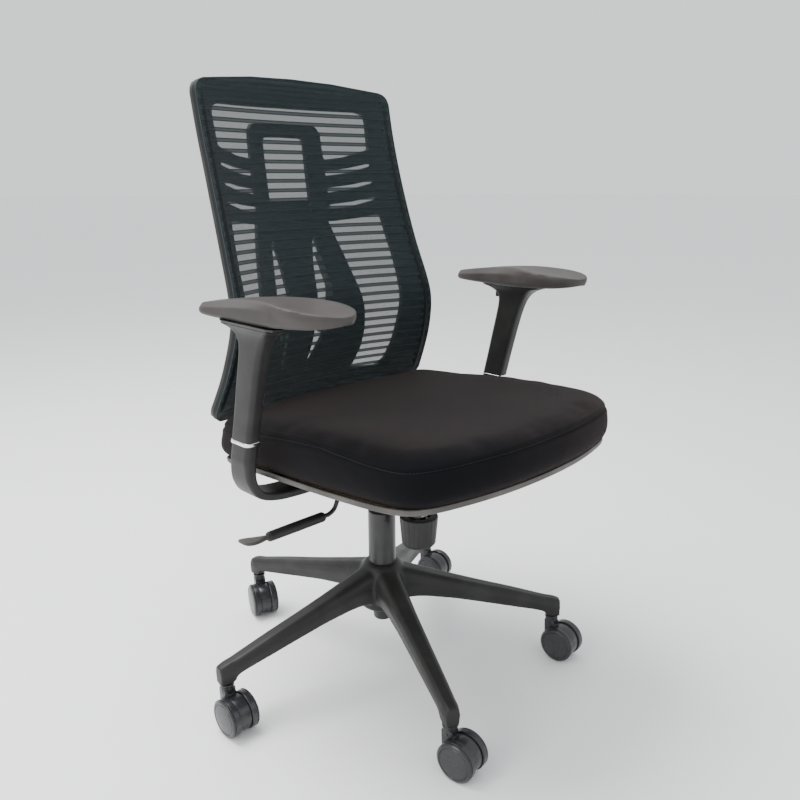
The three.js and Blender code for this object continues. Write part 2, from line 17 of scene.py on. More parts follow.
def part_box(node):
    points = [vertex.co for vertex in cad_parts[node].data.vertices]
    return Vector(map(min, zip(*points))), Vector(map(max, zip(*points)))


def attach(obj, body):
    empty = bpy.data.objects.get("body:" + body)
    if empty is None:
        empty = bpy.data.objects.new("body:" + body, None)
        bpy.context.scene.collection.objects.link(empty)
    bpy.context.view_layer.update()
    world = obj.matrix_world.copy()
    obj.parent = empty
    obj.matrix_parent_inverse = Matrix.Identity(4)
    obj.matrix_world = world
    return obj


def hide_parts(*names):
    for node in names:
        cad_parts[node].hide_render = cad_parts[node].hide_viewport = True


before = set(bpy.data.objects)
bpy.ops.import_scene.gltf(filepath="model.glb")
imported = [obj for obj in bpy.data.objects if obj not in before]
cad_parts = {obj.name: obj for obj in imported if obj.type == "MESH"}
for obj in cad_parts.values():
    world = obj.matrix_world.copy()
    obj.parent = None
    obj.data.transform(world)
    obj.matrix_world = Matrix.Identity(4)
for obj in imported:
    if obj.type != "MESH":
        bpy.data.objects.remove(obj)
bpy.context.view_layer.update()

bl_info = {
    "name": "Swivel Office Chair",
    "version": (1, 0, 0),
    "blender": (4, 5, 0),
    "location": "View3D > Sidebar > Office Chair",
    "description": "Makes a swivel office chair with a netting back around its packed frame",
    "category": "Add Mesh",
}

MM = 0.001
_tube_low, _tube_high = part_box("lift_tube")
COLUMN = Vector(((_tube_low.x + _tube_high.x) / 2, (_tube_low.y + _tube_high.y) / 2, 0)) / MM

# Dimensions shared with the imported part.
ARM_ANGLES = [101.3 + 72 * k for k in range(5)]
CASTER_TURNS = [-20, 0, 8, 5, 12]
BASE_RADIUS, TRAIL, WHEEL = 320, 24, 32
SEAT_Z, SEAT_TILT, SEAT_HALF, SEAT_FRONT, SEAT_REAR = 404, 4, 250, -368, 138
ARM_X, RING_Z, RAKE = 290, 500, 0.25
KNOB_Y = -94
SIDE = [(478, 152, 243), (546, 119, 234), (593, 101, 229), (644, 90, 223), (686, 95, 219),
        (770, 125, 212), (866, 155, 208), (952, 178, 207), (1028, 193, 207), (1050, 198, 207)]
NET_DEPTH = [(478, 45), (650, 55), (800, 45), (1050, 22)]
FRAME_DEPTH = [(478, 90), (560, 94), (700, 95), (800, 85), (960, 59), (1050, 50)]
BACK_LOW, BACK_TOP, BACK_CROWN, RIM, PLATE = 478, 1028, 14, 14, 9


# ---- sizes and colours a user may change -------------------------------------------------------
def length(name, description, default):
    return FloatProperty(name=name, description=description, default=default, unit="LENGTH",
                         min=0, soft_max=0.1, precision=4)


def colour(name, description, default):
    return FloatVectorProperty(name=name, description=description, default=default,
                               subtype="COLOR", size=3, min=0, max=1)


class ChairSizes(bpy.types.PropertyGroup):
    """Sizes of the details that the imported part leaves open."""
    voxel: length("Foam Voxel", "Edge of the voxels that the cushion is remeshed with", 0.005)
    swell: length("Cushion Swell", "Furthest that the foam may push the cover out", 0.006)
    seam: length("Seam Depth", "Depth of the groove at the cushion's seam", 0.0016)
    stitch: length("Stitch Length", "Length of one stitch of the seat seam", 0.0032)
    stitch_pitch: length("Stitch Pitch", "Distance from one stitch to the next", 0.0046)
    thread: length("Thread Radius", "Radius of the sewing thread", 0.0004)
    band: length("Band Pitch", "Height of one sheer band and one close band of the netting", 0.0163)
    cord: length("Cord Radius", "Radius of the thick cords knitted into the netting", 0.00075)
    hem: length("Hem Radius", "Radius of the hem cord round the netting", 0.0016)
    screw: length("Screw Head", "Diameter of a screw head", 0.009)
    base_voxel: length("Base Voxel", "Voxel that melts the star base's arms into its hub", 0.002)
    flutes: IntProperty(name="Knob Flutes", description="Grooves round the tension knob", default=22,
                        min=6, max=60)


class ChairColours(bpy.types.PropertyGroup):
    """Base colours of the finishes."""
    plastic: colour("Moulded Plastic", "Arms, back frame and base", (0.021, 0.0205, 0.020))
    nylon: colour("Caster Nylon", "Wheels and hoods", (0.017, 0.018, 0.021))
    paint: colour("Powder Coat", "Lift and tilt housing", (0.016, 0.0155, 0.0155))
    steel: colour("Steel", "Pins, springs and screws", (0.52, 0.52, 0.53))
    chrome: colour("Chrome", "Ring at the foot of each armrest", (0.92, 0.92, 0.93))
    cloth: colour("Seat Cloth", "Cover of the cushion", (0.0050, 0.0055, 0.0068))
    net: colour("Netting", "Yarn of the back", (0.016, 0.024, 0.027))
    # Back rim colour: grey-green like the netting, and darker than the moulded plastic as painted shade on
    # the side wall.
    rim: colour("Back Rim", "Side wall of the back", (0.008, 0.010, 0.011))
    pad: colour("Arm Pad", "Skin of the arm pads", (0.052, 0.047, 0.045))
    pan: colour("Seat Pan", "Tray under the cushion", (0.075, 0.070, 0.065))
    wood: colour("Seat Board", "Plywood inside the seat", (0.16, 0.12, 0.08))
    floor: colour("Floor", "Pale studio floor", (0.96, 0.96, 0.965))


def sizes():
    return bpy.context.scene.chair_sizes


def colours():
    return bpy.context.scene.chair_colours


# ---- finishes ----------------------------------------------------------------------------------
class Value:
    """A socket of a finish. Python's operators on it add Math nodes."""

    def __init__(self, finish, socket):
        self.finish, self.socket = finish, socket

    def math(self, operation, *others):
        return self.finish.node("ShaderNodeMath", {"operation": operation},
                                dict(enumerate((self, *others))))

    def __add__(self, other): return self.math("ADD", other)
    def __radd__(self, other): return self.math("ADD", other)
    def __mul__(self, other): return self.math("MULTIPLY", other)
    def __rmul__(self, other): return self.math("MULTIPLY", other)
    def __truediv__(self, other): return self.math("DIVIDE", other)
    def __sub__(self, other): return self.math("SUBTRACT", other)
    def __rsub__(self, other): return self.finish.node("ShaderNodeMath", {"operation": "SUBTRACT"},
                                                       {0: other, 1: self})
    def __abs__(self): return self.math("ABSOLUTE")
    def sin(self): return self.math("SINE")
    def fraction(self): return self.math("FRACT")
    def most(self, other): return self.math("MAXIMUM", other)

    def step(self, low, high):
        """0 below low, 1 above high, smooth between."""
        return self.finish.node("ShaderNodeMapRange", {"interpolation_type": "SMOOTHSTEP"},
                                {0: self, 1: low, 2: high, 3: 0.0, 4: 1.0})

    def bell(self, centre, width):
        """1 at centre, falling to 0 at width from it."""
        return 1 - abs(self - centre).step(0.0, width)


class Finish:
    """A material made of nodes round one Principled shader."""

    def __init__(self, name, **uniform):
        self.material = bpy.data.materials.new(name)
        self.material.use_nodes = True
        self.tree = self.material.node_tree
        self.shader = self.tree.nodes["Principled BSDF"]
        for socket, value in uniform.items():
            self.shader.inputs[socket.replace("_", " ").title().replace("Ior", "IOR")].default_value = value

    def node(self, kind, settings=None, sockets=None, out=0):
        made = self.tree.nodes.new(kind)
        for key, value in (settings or {}).items():
            if key == "stops":
                ramp = made.color_ramp
                while len(ramp.elements) < len(value):
                    ramp.elements.new(0.5)
                for element, (at, shade) in zip(ramp.elements, value):
                    element.position, element.color = at, shade
            else:
                setattr(made, key, value)
        for key, value in (sockets or {}).items():
            self.feed(made.inputs[key], value)
        return Value(self, made.outputs[out])

    def feed(self, socket, value):
        if isinstance(value, Value):
            self.tree.links.new(value.socket, socket)
        else:
            socket.default_value = value

    def set(self, **inputs):
        for name, value in inputs.items():
            self.feed(self.shader.inputs[name.replace("_", " ").title()], value)
        return self

    def place(self, output="Object"):
        """Coordinates of the surface, apart and together."""
        found = self.node("ShaderNodeTexCoord", out=output)
        apart = self.node("ShaderNodeSeparateXYZ", None, {0: found})
        parts = [Value(self, apart.socket.node.outputs[i]) for i in range(3)]
        return (found, *parts)

    def noise(self, where, scale, detail=2.0, rough=0.5):
        return self.node("ShaderNodeTexNoise", None,
                         {"Vector": where, "Scale": scale, "Detail": detail, "Roughness": rough})

    def stretched(self, where, scale):
        return self.node("ShaderNodeMapping", None, {"Vector": where, "Scale": scale})

    def mix(self, factor, a, b):
        return self.node("ShaderNodeMix", {"data_type": "RGBA"}, {0: factor, 6: a, 7: b}, out=2)

    def bump(self, height, strength, distance, under=None):
        sockets = {"Height": height, "Strength": strength, "Distance": distance}
        if under is not None:
            sockets["Normal"] = under
        return self.node("ShaderNodeBump", None, sockets)


def shade(rgb, times=1.0):
    return (*[min(1.0, c * times) for c in rgb], 1.0)


def moulded(name, rgb, roughness, grain=1400.0, depth=0.00008, gloss=0.30, cloud=0.35):
    """Moulded plastic: fine spark grain, faint flow clouds and a little handling polish."""
    made = Finish(name, ior=1.46, specular_ior_level=gloss)
    where, *_ = made.place()
    clouds = made.noise(where, 14.0, 4.0, 0.6)
    polish = made.noise(where, 45.0, 3.0, 0.55)
    fine = made.noise(where, grain, 2.0, 0.6)
    tone = made.mix(clouds.step(0.35, 0.7), shade(rgb, 1 - cloud / 2), shade(rgb, 1 + cloud))
    dust = made.noise(where, 160.0, 5.0, 0.7).step(0.62, 0.8)
    tone = made.mix(dust * 0.1, tone, shade(rgb, 3.0))
    made.set(base_color=tone, roughness=(polish - 0.5) * 0.16 + (fine - 0.5) * 0.06 + roughness,
             normal=made.bump(fine, 0.55, depth, made.bump(clouds, 0.1, 0.0006)))
    return made.material


def powder_coat(name, rgb):
    made = Finish(name, ior=1.5, specular_ior_level=0.5)
    where, *_ = made.place()
    peel = made.noise(where, 420.0, 2.0, 0.5)
    clouds = made.noise(where, 22.0, 3.0, 0.5)
    made.set(base_color=made.mix(clouds.step(0.35, 0.75), shade(rgb, 0.8), shade(rgb, 1.5)),
             roughness=(clouds - 0.5) * 0.12 + (peel - 0.5) * 0.08 + 0.36,
             normal=made.bump(peel, 0.35, 0.00012))
    return made.material


def brushed(name, rgb, roughness, along=(8.0, 8.0, 900.0)):
    made = Finish(name, metallic=1.0)
    where, *_ = made.place()
    lines = made.noise(made.stretched(where, along), 1.0, 3.0, 0.6)
    stain = made.noise(where, 60.0, 4.0, 0.6)
    made.set(base_color=made.mix(stain.step(0.4, 0.75), shade(rgb), shade(rgb, 0.72)),
             roughness=(lines - 0.5) * 0.22 + (stain - 0.5) * 0.1 + roughness,
             normal=made.bump(lines, 0.15, 0.00004))
    return made.material


def plywood(name, rgb):
    made = Finish(name, roughness=0.7)
    where, *_ = made.place()
    rings = made.noise(made.stretched(where, (3.0, 60.0, 60.0)), 2.0, 5.0, 0.6)
    made.set(base_color=made.mix(rings.step(0.35, 0.65), shade(rgb, 0.75), shade(rgb, 1.15)),
             roughness=rings * 0.2 + 0.6, normal=made.bump(rings, 0.2, 0.0002))
    return made.material


def seat_cloth(name, rgb):
    """Plain woven cover: warp over weft at 1.1 mm, with slubs, lint and a soft nap."""
    made = Finish(name, sheen_weight=0.1, sheen_roughness=0.35, sheen_tint=(0.9, 0.68, 0.62, 1.0),
                  specular_ior_level=0.06)
    where, x, y, z = made.place()
    turn = 2 * math.pi / 0.0011
    facing = made.node("ShaderNodeNewGeometry", out="Normal")
    up = Value(made, made.node("ShaderNodeSeparateXYZ", None, {0: facing}).socket.node.outputs[2])
    level = abs(up).step(0.45, 0.75)
    along = ((x + y * 0.06) * turn).sin()
    across = ((y - x * 0.06) * turn).sin() * level + (z * turn).sin() * (1 - level)
    around = along * level + ((x + y) * (turn * 0.8)).sin() * (1 - level)
    weave = (around * across) * 0.5 + 0.5
    slub = made.noise(made.stretched(where, (60.0, 900.0, 500.0)), 1.0, 3.0, 0.6)
    heather = made.noise(where, 700.0, 3.0, 0.7)
    soft = made.noise(where, 9.0, 3.0, 0.5)
    tone = made.mix(weave * 0.6 + heather * 0.4, shade(rgb, 0.55), shade(rgb, 1.7))
    tone = made.mix(soft.step(0.4, 0.8) * 0.35, tone, shade((0.0115, 0.0092, 0.0096)))
    lint = made.noise(where, 240.0, 2.0, 0.5).step(0.75, 0.8)
    tone = made.mix(lint * 0.18, tone, shade((0.09, 0.085, 0.085)))
    made.set(base_color=tone, roughness=heather * 0.12 + 0.82,
             normal=made.bump(weave * 0.7 + slub * 0.5 + heather * 0.3, 0.75, 0.0005,
                              made.bump(soft, 0.25, 0.003)))
    return made.material


def netting(name, rgb, pitch):
    """Knitted netting on the cloth's own UVs in metres: sheer diamond knit between close bands."""
    made = Finish(name, sheen_weight=0.12, sheen_roughness=0.5, specular_ior_level=0.2)
    _, u, v, _ = made.place("UV")
    where, *_ = made.place()
    band = (v / pitch).fraction()
    cords = band.bell(0.62, 0.10).most(band.bell(0.91, 0.10))
    close = band.step(0.52, 0.58) * (1 - band.step(0.95, 0.99))
    knit = 2 * math.pi / 0.0046
    diamond = ((u + v * 1.6) * knit).sin() * ((u * 0.55 - v * 1.3) * knit).sin()
    strand = abs(diamond).step(0.05, 0.55)
    fuzz = made.noise(where, 900.0, 2.0, 0.6)
    sheer = 0.93 - strand * 0.30
    ribs = ((u * (2 * math.pi / 0.0017)).sin()) * 0.5 + 0.5
    cover = close * 0.95 + (1 - close) * sheer
    tone = made.mix(fuzz * 0.6 + ribs * 0.3, shade(rgb, 0.6), shade(rgb, 1.9))
    made.set(base_color=tone, roughness=fuzz * 0.15 + 0.72, alpha=cover,
             normal=made.bump(cords * 0.8 + ribs * close * 0.4 + (1 - strand) * 0.4, 0.6, 0.0009))
    return made.material


def yarn(name, rgb, pitch=0.0022):
    """Cord of twisted yarn: slanting ridges and a dull nap."""
    made = Finish(name, sheen_weight=0.1, sheen_roughness=0.5, specular_ior_level=0.15)
    where, x, y, z = made.place()
    ridge = ((x + z + y) * (2 * math.pi / pitch)).sin() * 0.5 + 0.5
    fuzz = made.noise(where, 1100.0, 2.0, 0.6)
    made.set(base_color=made.mix(ridge * 0.5 + fuzz * 0.5, shade(rgb, 0.6), shade(rgb, 1.8)),
             roughness=fuzz * 0.15 + 0.75, normal=made.bump(ridge + fuzz * 0.5, 0.6, 0.0004))
    return made.material


def soft_skin(name, rgb):
    """Self-skinned foam: satin skin with fine leather-like pores and worn-smooth patches."""
    made = Finish(name, specular_ior_level=0.22, ior=1.45)
    where, *_ = made.place()
    pores = made.node("ShaderNodeTexVoronoi", {"feature": "DISTANCE_TO_EDGE"},
                      {"Vector": where, "Scale": 1300.0}, out="Distance")
    worn = made.noise(where, 18.0, 3.0, 0.5)
    fine = made.noise(where, 900.0, 2.0, 0.5)
    tone = made.mix(worn.step(0.35, 0.75), shade(rgb, 0.85), shade(rgb, 1.2))
    made.set(base_color=made.mix(fine * 0.3, tone, shade(rgb, 0.7)),
             roughness=(worn - 0.5) * 0.18 + 0.5,
             normal=made.bump(pores.step(0.0, 0.25) + fine * 0.4, 0.35, 0.00012))
    return made.material


def floor_finish(name, rgb):
    made = Finish(name, roughness=0.6, specular_ior_level=0.3)
    where, *_ = made.place()
    haze = made.noise(where, 1.4, 3.0, 0.5)
    made.set(base_color=made.mix(haze, shade(rgb, 0.985), shade(rgb, 1.01)),
             roughness=haze * 0.06 + 0.55)
    return made.material


FINISHES = {}


def finish(slot):
    """The finish of one of the material slots, made when it is first asked for."""
    c = colours()
    makers = {
        "black_plastic": lambda: moulded("moulded_plastic", c.plastic, 0.46),
        "grey_plastic": lambda: moulded("pan_plastic", c.pan, 0.55),
        "caster_nylon": lambda: moulded("caster_nylon", c.nylon, 0.28, 700.0, 0.00003, 0.55),
        "painted_steel": lambda: powder_coat("powder_coat", c.paint),
        "steel": lambda: brushed("zinc_steel", c.steel, 0.33),
        "chrome": lambda: brushed("chrome_trim", c.chrome, 0.12),
        "plywood": lambda: plywood("plywood", c.wood),
        "seat_fabric": lambda: seat_cloth("seat_cloth", c.cloth),
        "back_netting": lambda: netting("back_netting", c.net, sizes().band),
        "yarn": lambda: yarn("net_yarn", c.net),
        "thread": lambda: yarn("seam_thread", (0.03, 0.032, 0.036), 0.0009),
        # The side wall's moulded plastic, darkened as painted shade.
        "rim": lambda: moulded("back_rim_plastic_painted_shade", c.rim, 0.6, gloss=0.2, cloud=0.2),
        "soft_pad": lambda: soft_skin("pad_skin", c.pad),
        "floor": lambda: floor_finish("studio_floor", c.floor),
    }
    if slot not in FINISHES:
        FINISHES[slot] = makers[slot]()
    return FINISHES[slot]


# ---- shapes: (corners in millimetres about the column, faces) ------------------------------------
def rise(value, low, high):
    """0 below low, 1 above high, with an eased climb between."""
    t = min(1.0, max(0.0, (value - low) / (high - low)))
    return t * t * (3 - 2 * t)


def catmull(points, per=12):
    """Smooth curve through the points, as a dense list of arrays."""
    pts = [np.array(p, float) for p in points]
    out = []
    for i in range(len(pts) - 1):
        a, b, c, d = pts[max(i - 1, 0)], pts[i], pts[i + 1], pts[min(i + 2, len(pts) - 1)]
        for t in np.arange(per) / per:
            out.append(0.5 * (2 * b + (c - a) * t + (2 * a - 5 * b + 4 * c - d) * t**2
                              + (3 * b - a - 3 * c + d) * t**3))
    return [*out, pts[-1]]


def reading(rows, column):
    """Smooth reading of one column of a table against its first."""
    curve = np.array(catmull([(r[0], r[column]) for r in rows], 20))
    return lambda at: np.interp(at, curve[:, 0], curve[:, 1])


def fillet(points, radius, steps=4, closed=True):
    """Rounds the corners of a flat outline."""
    out, n = [], len(points)
    for i, p in enumerate(points):
        b = Vector(p)
        if not closed and i in (0, n - 1):
            out.append(tuple(b))
            continue
        a, c = Vector(points[i - 1]), Vector(points[(i + 1) % n])
        into, away = a - b, c - b
        angle = into.angle(away, math.pi)
        if angle > math.radians(172) or into.length < 1e-6 or away.length < 1e-6:
            out.append(tuple(b))
            continue
        reach = min(radius / math.tan(angle / 2), 0.46 * into.length, 0.46 * away.length)
        start, end = b + into.normalized() * reach, b + away.normalized() * reach
        for k in range(steps + 1):
            t = k / steps
            out.append(tuple(start * (1 - t)**2 + b * (2 * t * (1 - t)) + end * t * t))
    return out


def resample(points, spacing=1.0, closed=True, count=0):
    """Points evenly spaced along an outline or a path: count of them, or about spacing apart."""
    pts = np.array(points, float)
    if closed:
        pts = np.vstack([pts, pts[:1]])
    far = np.concatenate([[0], np.cumsum(np.linalg.norm(np.diff(pts, axis=0), axis=1))])
    count = count or max(3, int(round(far[-1] / spacing)))
    at = np.linspace(0, far[-1], count + 1)
    even = np.stack([np.interp(at, far, pts[:, k]) for k in range(pts.shape[1])], axis=1)
    return even[:-1] if closed else even


def loft(rings, capped=True):
    """Skin through rings of equal counts."""
    n = len(rings[0])
    verts = [tuple(p) for ring in rings for p in ring]
    faces = [(k * n + i, k * n + (i + 1) % n, (k + 1) * n + (i + 1) % n, (k + 1) * n + i)
             for k in range(len(rings) - 1) for i in range(n)]
    if capped:
        faces += [tuple(range(n))[::-1], tuple(range(len(verts) - n, len(verts)))]
    return verts, faces


def joined(*shapes):
    verts, faces = [], []
    for v, f in shapes:
        faces += [tuple(i + len(verts) for i in face) for face in f]
        verts += list(v)
    return verts, faces


def moved(shape, matrix):
    return [tuple(matrix @ Vector(v)) for v in shape[0]], shape[1]


def lathe(profile, sides=64, radius=1.0):
    """Solid turned about Z from (radius, height) corners that start and end on the axis."""
    line = fillet(profile, radius, 3, closed=False)
    verts, rows = [], []
    for r, z in line:
        if r < 1e-6:
            rows.append([len(verts)])
            verts.append((0, 0, z))
        else:
            rows.append(list(range(len(verts), len(verts) + sides)))
            verts += [(r * math.cos(2 * math.pi * i / sides), r * math.sin(2 * math.pi * i / sides), z)
                      for i in range(sides)]
    faces = []
    for low, high in zip(rows, rows[1:]):
        for i in range(sides):
            j = (i + 1) % sides
            corners = [low[i % len(low)], low[j % len(low)], high[j % len(high)], high[i % len(high)]]
            face = list(dict.fromkeys(corners))
            if len(face) > 2:
                faces.append(tuple(face))
    return verts, faces


def tube_wall(profile, sides=64, radius=1.0):
    """Hollow solid turned about Z from a closed (radius, height) outline."""
    line = fillet(profile, radius, 3)
    rings = [[(r * math.cos(2 * math.pi * i / sides), r * math.sin(2 * math.pi * i / sides), z)
              for i in range(sides)] for r, z in line]
    verts, faces = loft([*rings, rings[0]], capped=False)
    return verts, faces


def rounded(w, h, r, steps=5):
    """Corners of a rounded rectangle about the origin."""
    out = []
    for sx, sy, start in ((1, 1, 0), (-1, 1, 90), (-1, -1, 180), (1, -1, 270)):
        for i in range(steps + 1):
            a = math.radians(start + 90 * i / steps)
            out.append((sx * (w / 2 - r) + r * math.cos(a), sy * (h / 2 - r) + r * math.sin(a)))
    return out


def bar(path, side, section):
    """Bar along a path that lies in a plane; side is the direction square to that plane."""
    rings, last = [], len(path) - 1
    for i, p in enumerate(path):
        along = Vector(path[min(i + 1, last)]) - Vector(path[max(i - 1, 0)])
        normal = along.cross(side).normalized()
        rings.append([Vector(p) + side * a + normal * b for a, b in section(i / last)])
    return loft(rings)


def inside(points, loops):
    """Which points lie within the first loop and in none of the others."""
    hit = np.zeros(len(points), bool)
    for loop in loops:
        a, b = np.array(loop), np.roll(np.array(loop), -1, axis=0)
        for (ax, az), (bx, bz) in zip(a, b):
            if az == bz:
                continue
            crosses = (az > points[:, 1]) != (bz > points[:, 1])
            hit ^= crosses & (points[:, 0] < (bx - ax) * (points[:, 1] - az) / (bz - az) + ax)
    return hit


def pierced(outer, windows, near, thickness, step=9.0, corner=5.0):
    """Curved plate over an (x, z) outline with windows; near(x, z) is its front surface."""
    loops = [resample(fillet(outer, 1.0, 2), step * 0.55)]
    loops += [resample(fillet(w, corner, 5), min(step * 0.5, 4.0)) for w in windows]
    flat = np.vstack(loops)
    edges, start = [], 0
    for loop in loops:
        edges += [(start + i, start + (i + 1) % len(loop)) for i in range(len(loop))]
        start += len(loop)
    low, high = flat.min(0), flat.max(0)
    gx, gz = np.meshgrid(np.arange(low[0], high[0], step), np.arange(low[1], high[1], step))
    grid = np.stack([gx.ravel() + (np.round(gz.ravel() / step) % 2) * step / 2, gz.ravel()], axis=1)
    grid = grid[inside(grid, loops)]
    clear = np.array([np.min(np.hypot(*(flat - g).T)) > step * 0.55 for g in grid])
    points = np.vstack([flat, grid[clear]])
    made = delaunay_2d_cdt([Vector(p) for p in points], edges, [], 0, 1e-4)
    plan, triangles = np.array(made[0]), np.array(made[2])
    triangles = triangles[inside(plan[triangles].mean(1), loops)]
    y = near(plan[:, 0], plan[:, 1])
    count = len(plan)
    verts = [(x, b, z) for (x, z), b in zip(plan, y)]
    if not thickness:
        return verts, [tuple(t) for t in triangles]
    verts += [(x, b + thickness, z) for (x, z), b in zip(plan, y)]
    faces = [tuple(t) for t in triangles] + [tuple(t[::-1] + count) for t in triangles]
    used = {}
    for t in triangles:
        for i in range(3):
            used[(t[i], t[(i + 1) % 3])] = True
    faces += [(b, a, a + count, b + count) for a, b in used if (b, a) not in used]
    return verts, faces


# ---- from shapes to pieces -----------------------------------------------------------------------
def raw(name, shape, look):
    """Object with its place in its mesh, faces outwards."""
    verts, faces = shape
    mesh = bpy.data.meshes.new(name)
    mesh.from_pydata([(Vector(v) + COLUMN) * MM for v in verts], [], faces)
    mesh.materials.append(look)
    obj = bpy.data.objects.new(name, mesh)
    bpy.context.scene.collection.objects.link(obj)
    if faces:
        tidy(mesh)
    return obj


def tidy(mesh):
    work = bmesh.new()
    work.from_mesh(mesh)
    bmesh.ops.remove_doubles(work, verts=work.verts, dist=1e-6)
    bmesh.ops.dissolve_degenerate(work, dist=1e-7, edges=work.edges)
    bmesh.ops.recalc_face_normals(work, faces=work.faces)
    work.to_mesh(mesh)
    work.free()


def bake(obj):
    """Turns what the modifiers make into the object's own mesh."""
    graph = bpy.context.evaluated_depsgraph_get()
    mesh = bpy.data.meshes.new_from_object(obj.evaluated_get(graph))
    obj.modifiers.clear()
    old, obj.data = obj.data, mesh
    bpy.data.meshes.remove(old)
    return obj


def bevelled(obj, width, segments=3, angle=40):
    made = obj.modifiers.new("edge", "BEVEL")
    made.width, made.segments = width * MM, segments
    made.limit_method, made.angle_limit = "ANGLE", math.radians(angle)
    return bake(obj)


def smoothed(obj, crease=40):
    mesh = obj.data
    mesh.shade_smooth()
    mesh.set_sharp_from_angle(angle=math.radians(crease))
    return obj


def settle(obj, body, slot, *nodes, crease=40):
    """Last step of a piece: shading, the body that it rides on, and hiding the imported parts that it stands
    for. Its slot is not used.
    """
    smoothed(obj, crease)
    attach(obj, body)
    if nodes:
        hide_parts(*nodes)
    return obj


def solid(name, shape, slot, body, *nodes, bevel=0.0, crease=40):
    obj = raw(name, shape, finish(slot))
    if bevel:
        bevelled(obj, bevel)
    return settle(obj, body, slot, *nodes, crease=crease)


def dress(slot, *nodes):
    """Gives CAD nodes whose shape is right the finish of a slot."""
    for node in nodes:
        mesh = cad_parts[node].data
        mesh.materials.clear()
        mesh.materials.append(finish(slot))


# ---- geometry node trees -------------------------------------------------------------------------
class Growth:
    """A geometry node tree with named inputs, run once on an object and turned into its mesh."""

    def __init__(self, name, **inputs):
        self.tree = bpy.data.node_groups.new(name, "GeometryNodeTree")
        face = self.tree.interface
        face.new_socket("Geometry", in_out="INPUT", socket_type="NodeSocketGeometry")
        self.names = {}
        for key, kind in inputs.items():
            self.names[key] = face.new_socket(key, in_out="INPUT", socket_type=f"NodeSocket{kind}").identifier
        face.new_socket("Geometry", in_out="OUTPUT", socket_type="NodeSocketGeometry")
        self.given = self.tree.nodes.new("NodeGroupInput")

    def __getitem__(self, key):
        return self.given.outputs[key]

    def add(self, kind, settings=None, sockets=None):
        made = self.tree.nodes.new(kind)
        for key, value in (settings or {}).items():
            setattr(made, key, value)
        for key, value in (sockets or {}).items():
            if isinstance(value, bpy.types.NodeSocket):
                self.tree.links.new(value, made.inputs[key])
            else:
                made.inputs[key].default_value = value
        return made

    def end(self, geometry):
        whole = self.add("GeometryNodeRealizeInstances", None, {0: geometry})
        painted = self.add("GeometryNodeSetMaterial", None, {0: whole.outputs[0], "Material": self["Finish"]})
        self.tree.links.new(painted.outputs[0], self.tree.nodes.new("NodeGroupOutput").inputs[0])

    def grow(self, obj, **values):
        made = obj.modifiers.new("growth", "NODES")
        made.node_group = self.tree
        for key, value in values.items():
            made[self.names[key]] = value
        bake(obj)
        tidy(obj.data)
        return obj


def path_object(name, paths, closed=True):
    """Object whose edges follow paths of points."""
    verts, edges = [], []
    for path in paths:
        first, n = len(verts), len(path)
        verts += [tuple(p) for p in path]
        edges += [(first + i, first + (i + 1) % n) for i in range(n if closed else n - 1)]
    mesh = bpy.data.meshes.new(name)
    mesh.from_pydata([(Vector(v) + COLUMN) * MM for v in verts], edges, [])
    obj = bpy.data.objects.new(name, mesh)
    bpy.context.scene.collection.objects.link(obj)
    return obj


def stitch_growth():
    """Stitches of thread laid end to end along a path."""
    made = Growth("stitches", Pitch="Float", Length="Float", Radius="Float", Finish="Material")
    line = made.add("GeometryNodeMeshToCurve", None, {0: made["Geometry"]})
    points = made.add("GeometryNodeResampleCurve", {"mode": "LENGTH"},
                      {"Curve": line.outputs[0], "Length": made["Pitch"]})
    bead = made.add("GeometryNodeMeshUVSphere", None, {"Segments": 6, "Rings": 4, "Radius": 1.0})
    half = made.add("ShaderNodeMath", {"operation": "MULTIPLY"}, {0: made["Length"], 1: 0.5})
    size = made.add("ShaderNodeCombineXYZ", None,
                    {0: made["Radius"], 1: made["Radius"], 2: half.outputs[0]})
    tangent = made.add("GeometryNodeInputTangent")
    turn = made.add("FunctionNodeAlignRotationToVector", {"axis": "Z"}, {"Vector": tangent.outputs[0]})
    laid = made.add("GeometryNodeInstanceOnPoints", None,
                    {"Points": points.outputs[0], "Instance": bead.outputs[0],
                     "Rotation": turn.outputs[0], "Scale": size.outputs[0]})
    made.end(laid.outputs[0])
    return made


def cord_growth():
    """Round cords along paths."""
    made = Growth("cords", Radius="Float", Finish="Material")
    line = made.add("GeometryNodeMeshToCurve", None, {0: made["Geometry"]})
    ring = made.add("GeometryNodeCurvePrimitiveCircle", None, {"Resolution": 6, "Radius": made["Radius"]})
    cord = made.add("GeometryNodeCurveToMesh", None,
                    {"Curve": line.outputs[0], "Profile Curve": ring.outputs[0], "Fill Caps": True})
    made.end(cord.outputs[0])
    return made


def screw_growth():
    """A screw on each point, its head along the point's own facing."""
    made = Growth("screws", Screw="Object", Size="Float", Finish="Material")
    facing = made.add("GeometryNodeInputNamedAttribute", {"data_type": "FLOAT_VECTOR"}, {"Name": "facing"})
    turn = made.add("FunctionNodeAlignRotationToVector", {"axis": "Z"}, {"Vector": facing.outputs[0]})
    info = made.add("GeometryNodeObjectInfo", None, {"Object": made["Screw"]})
    size = made.add("ShaderNodeCombineXYZ", None, {0: made["Size"], 1: made["Size"], 2: made["Size"]})
    laid = made.add("GeometryNodeInstanceOnPoints", None,
                    {"Points": made["Geometry"], "Instance": info.outputs["Geometry"],
                     "Rotation": turn.outputs[0], "Scale": size.outputs[0]})
    made.end(laid.outputs[0])
    return made


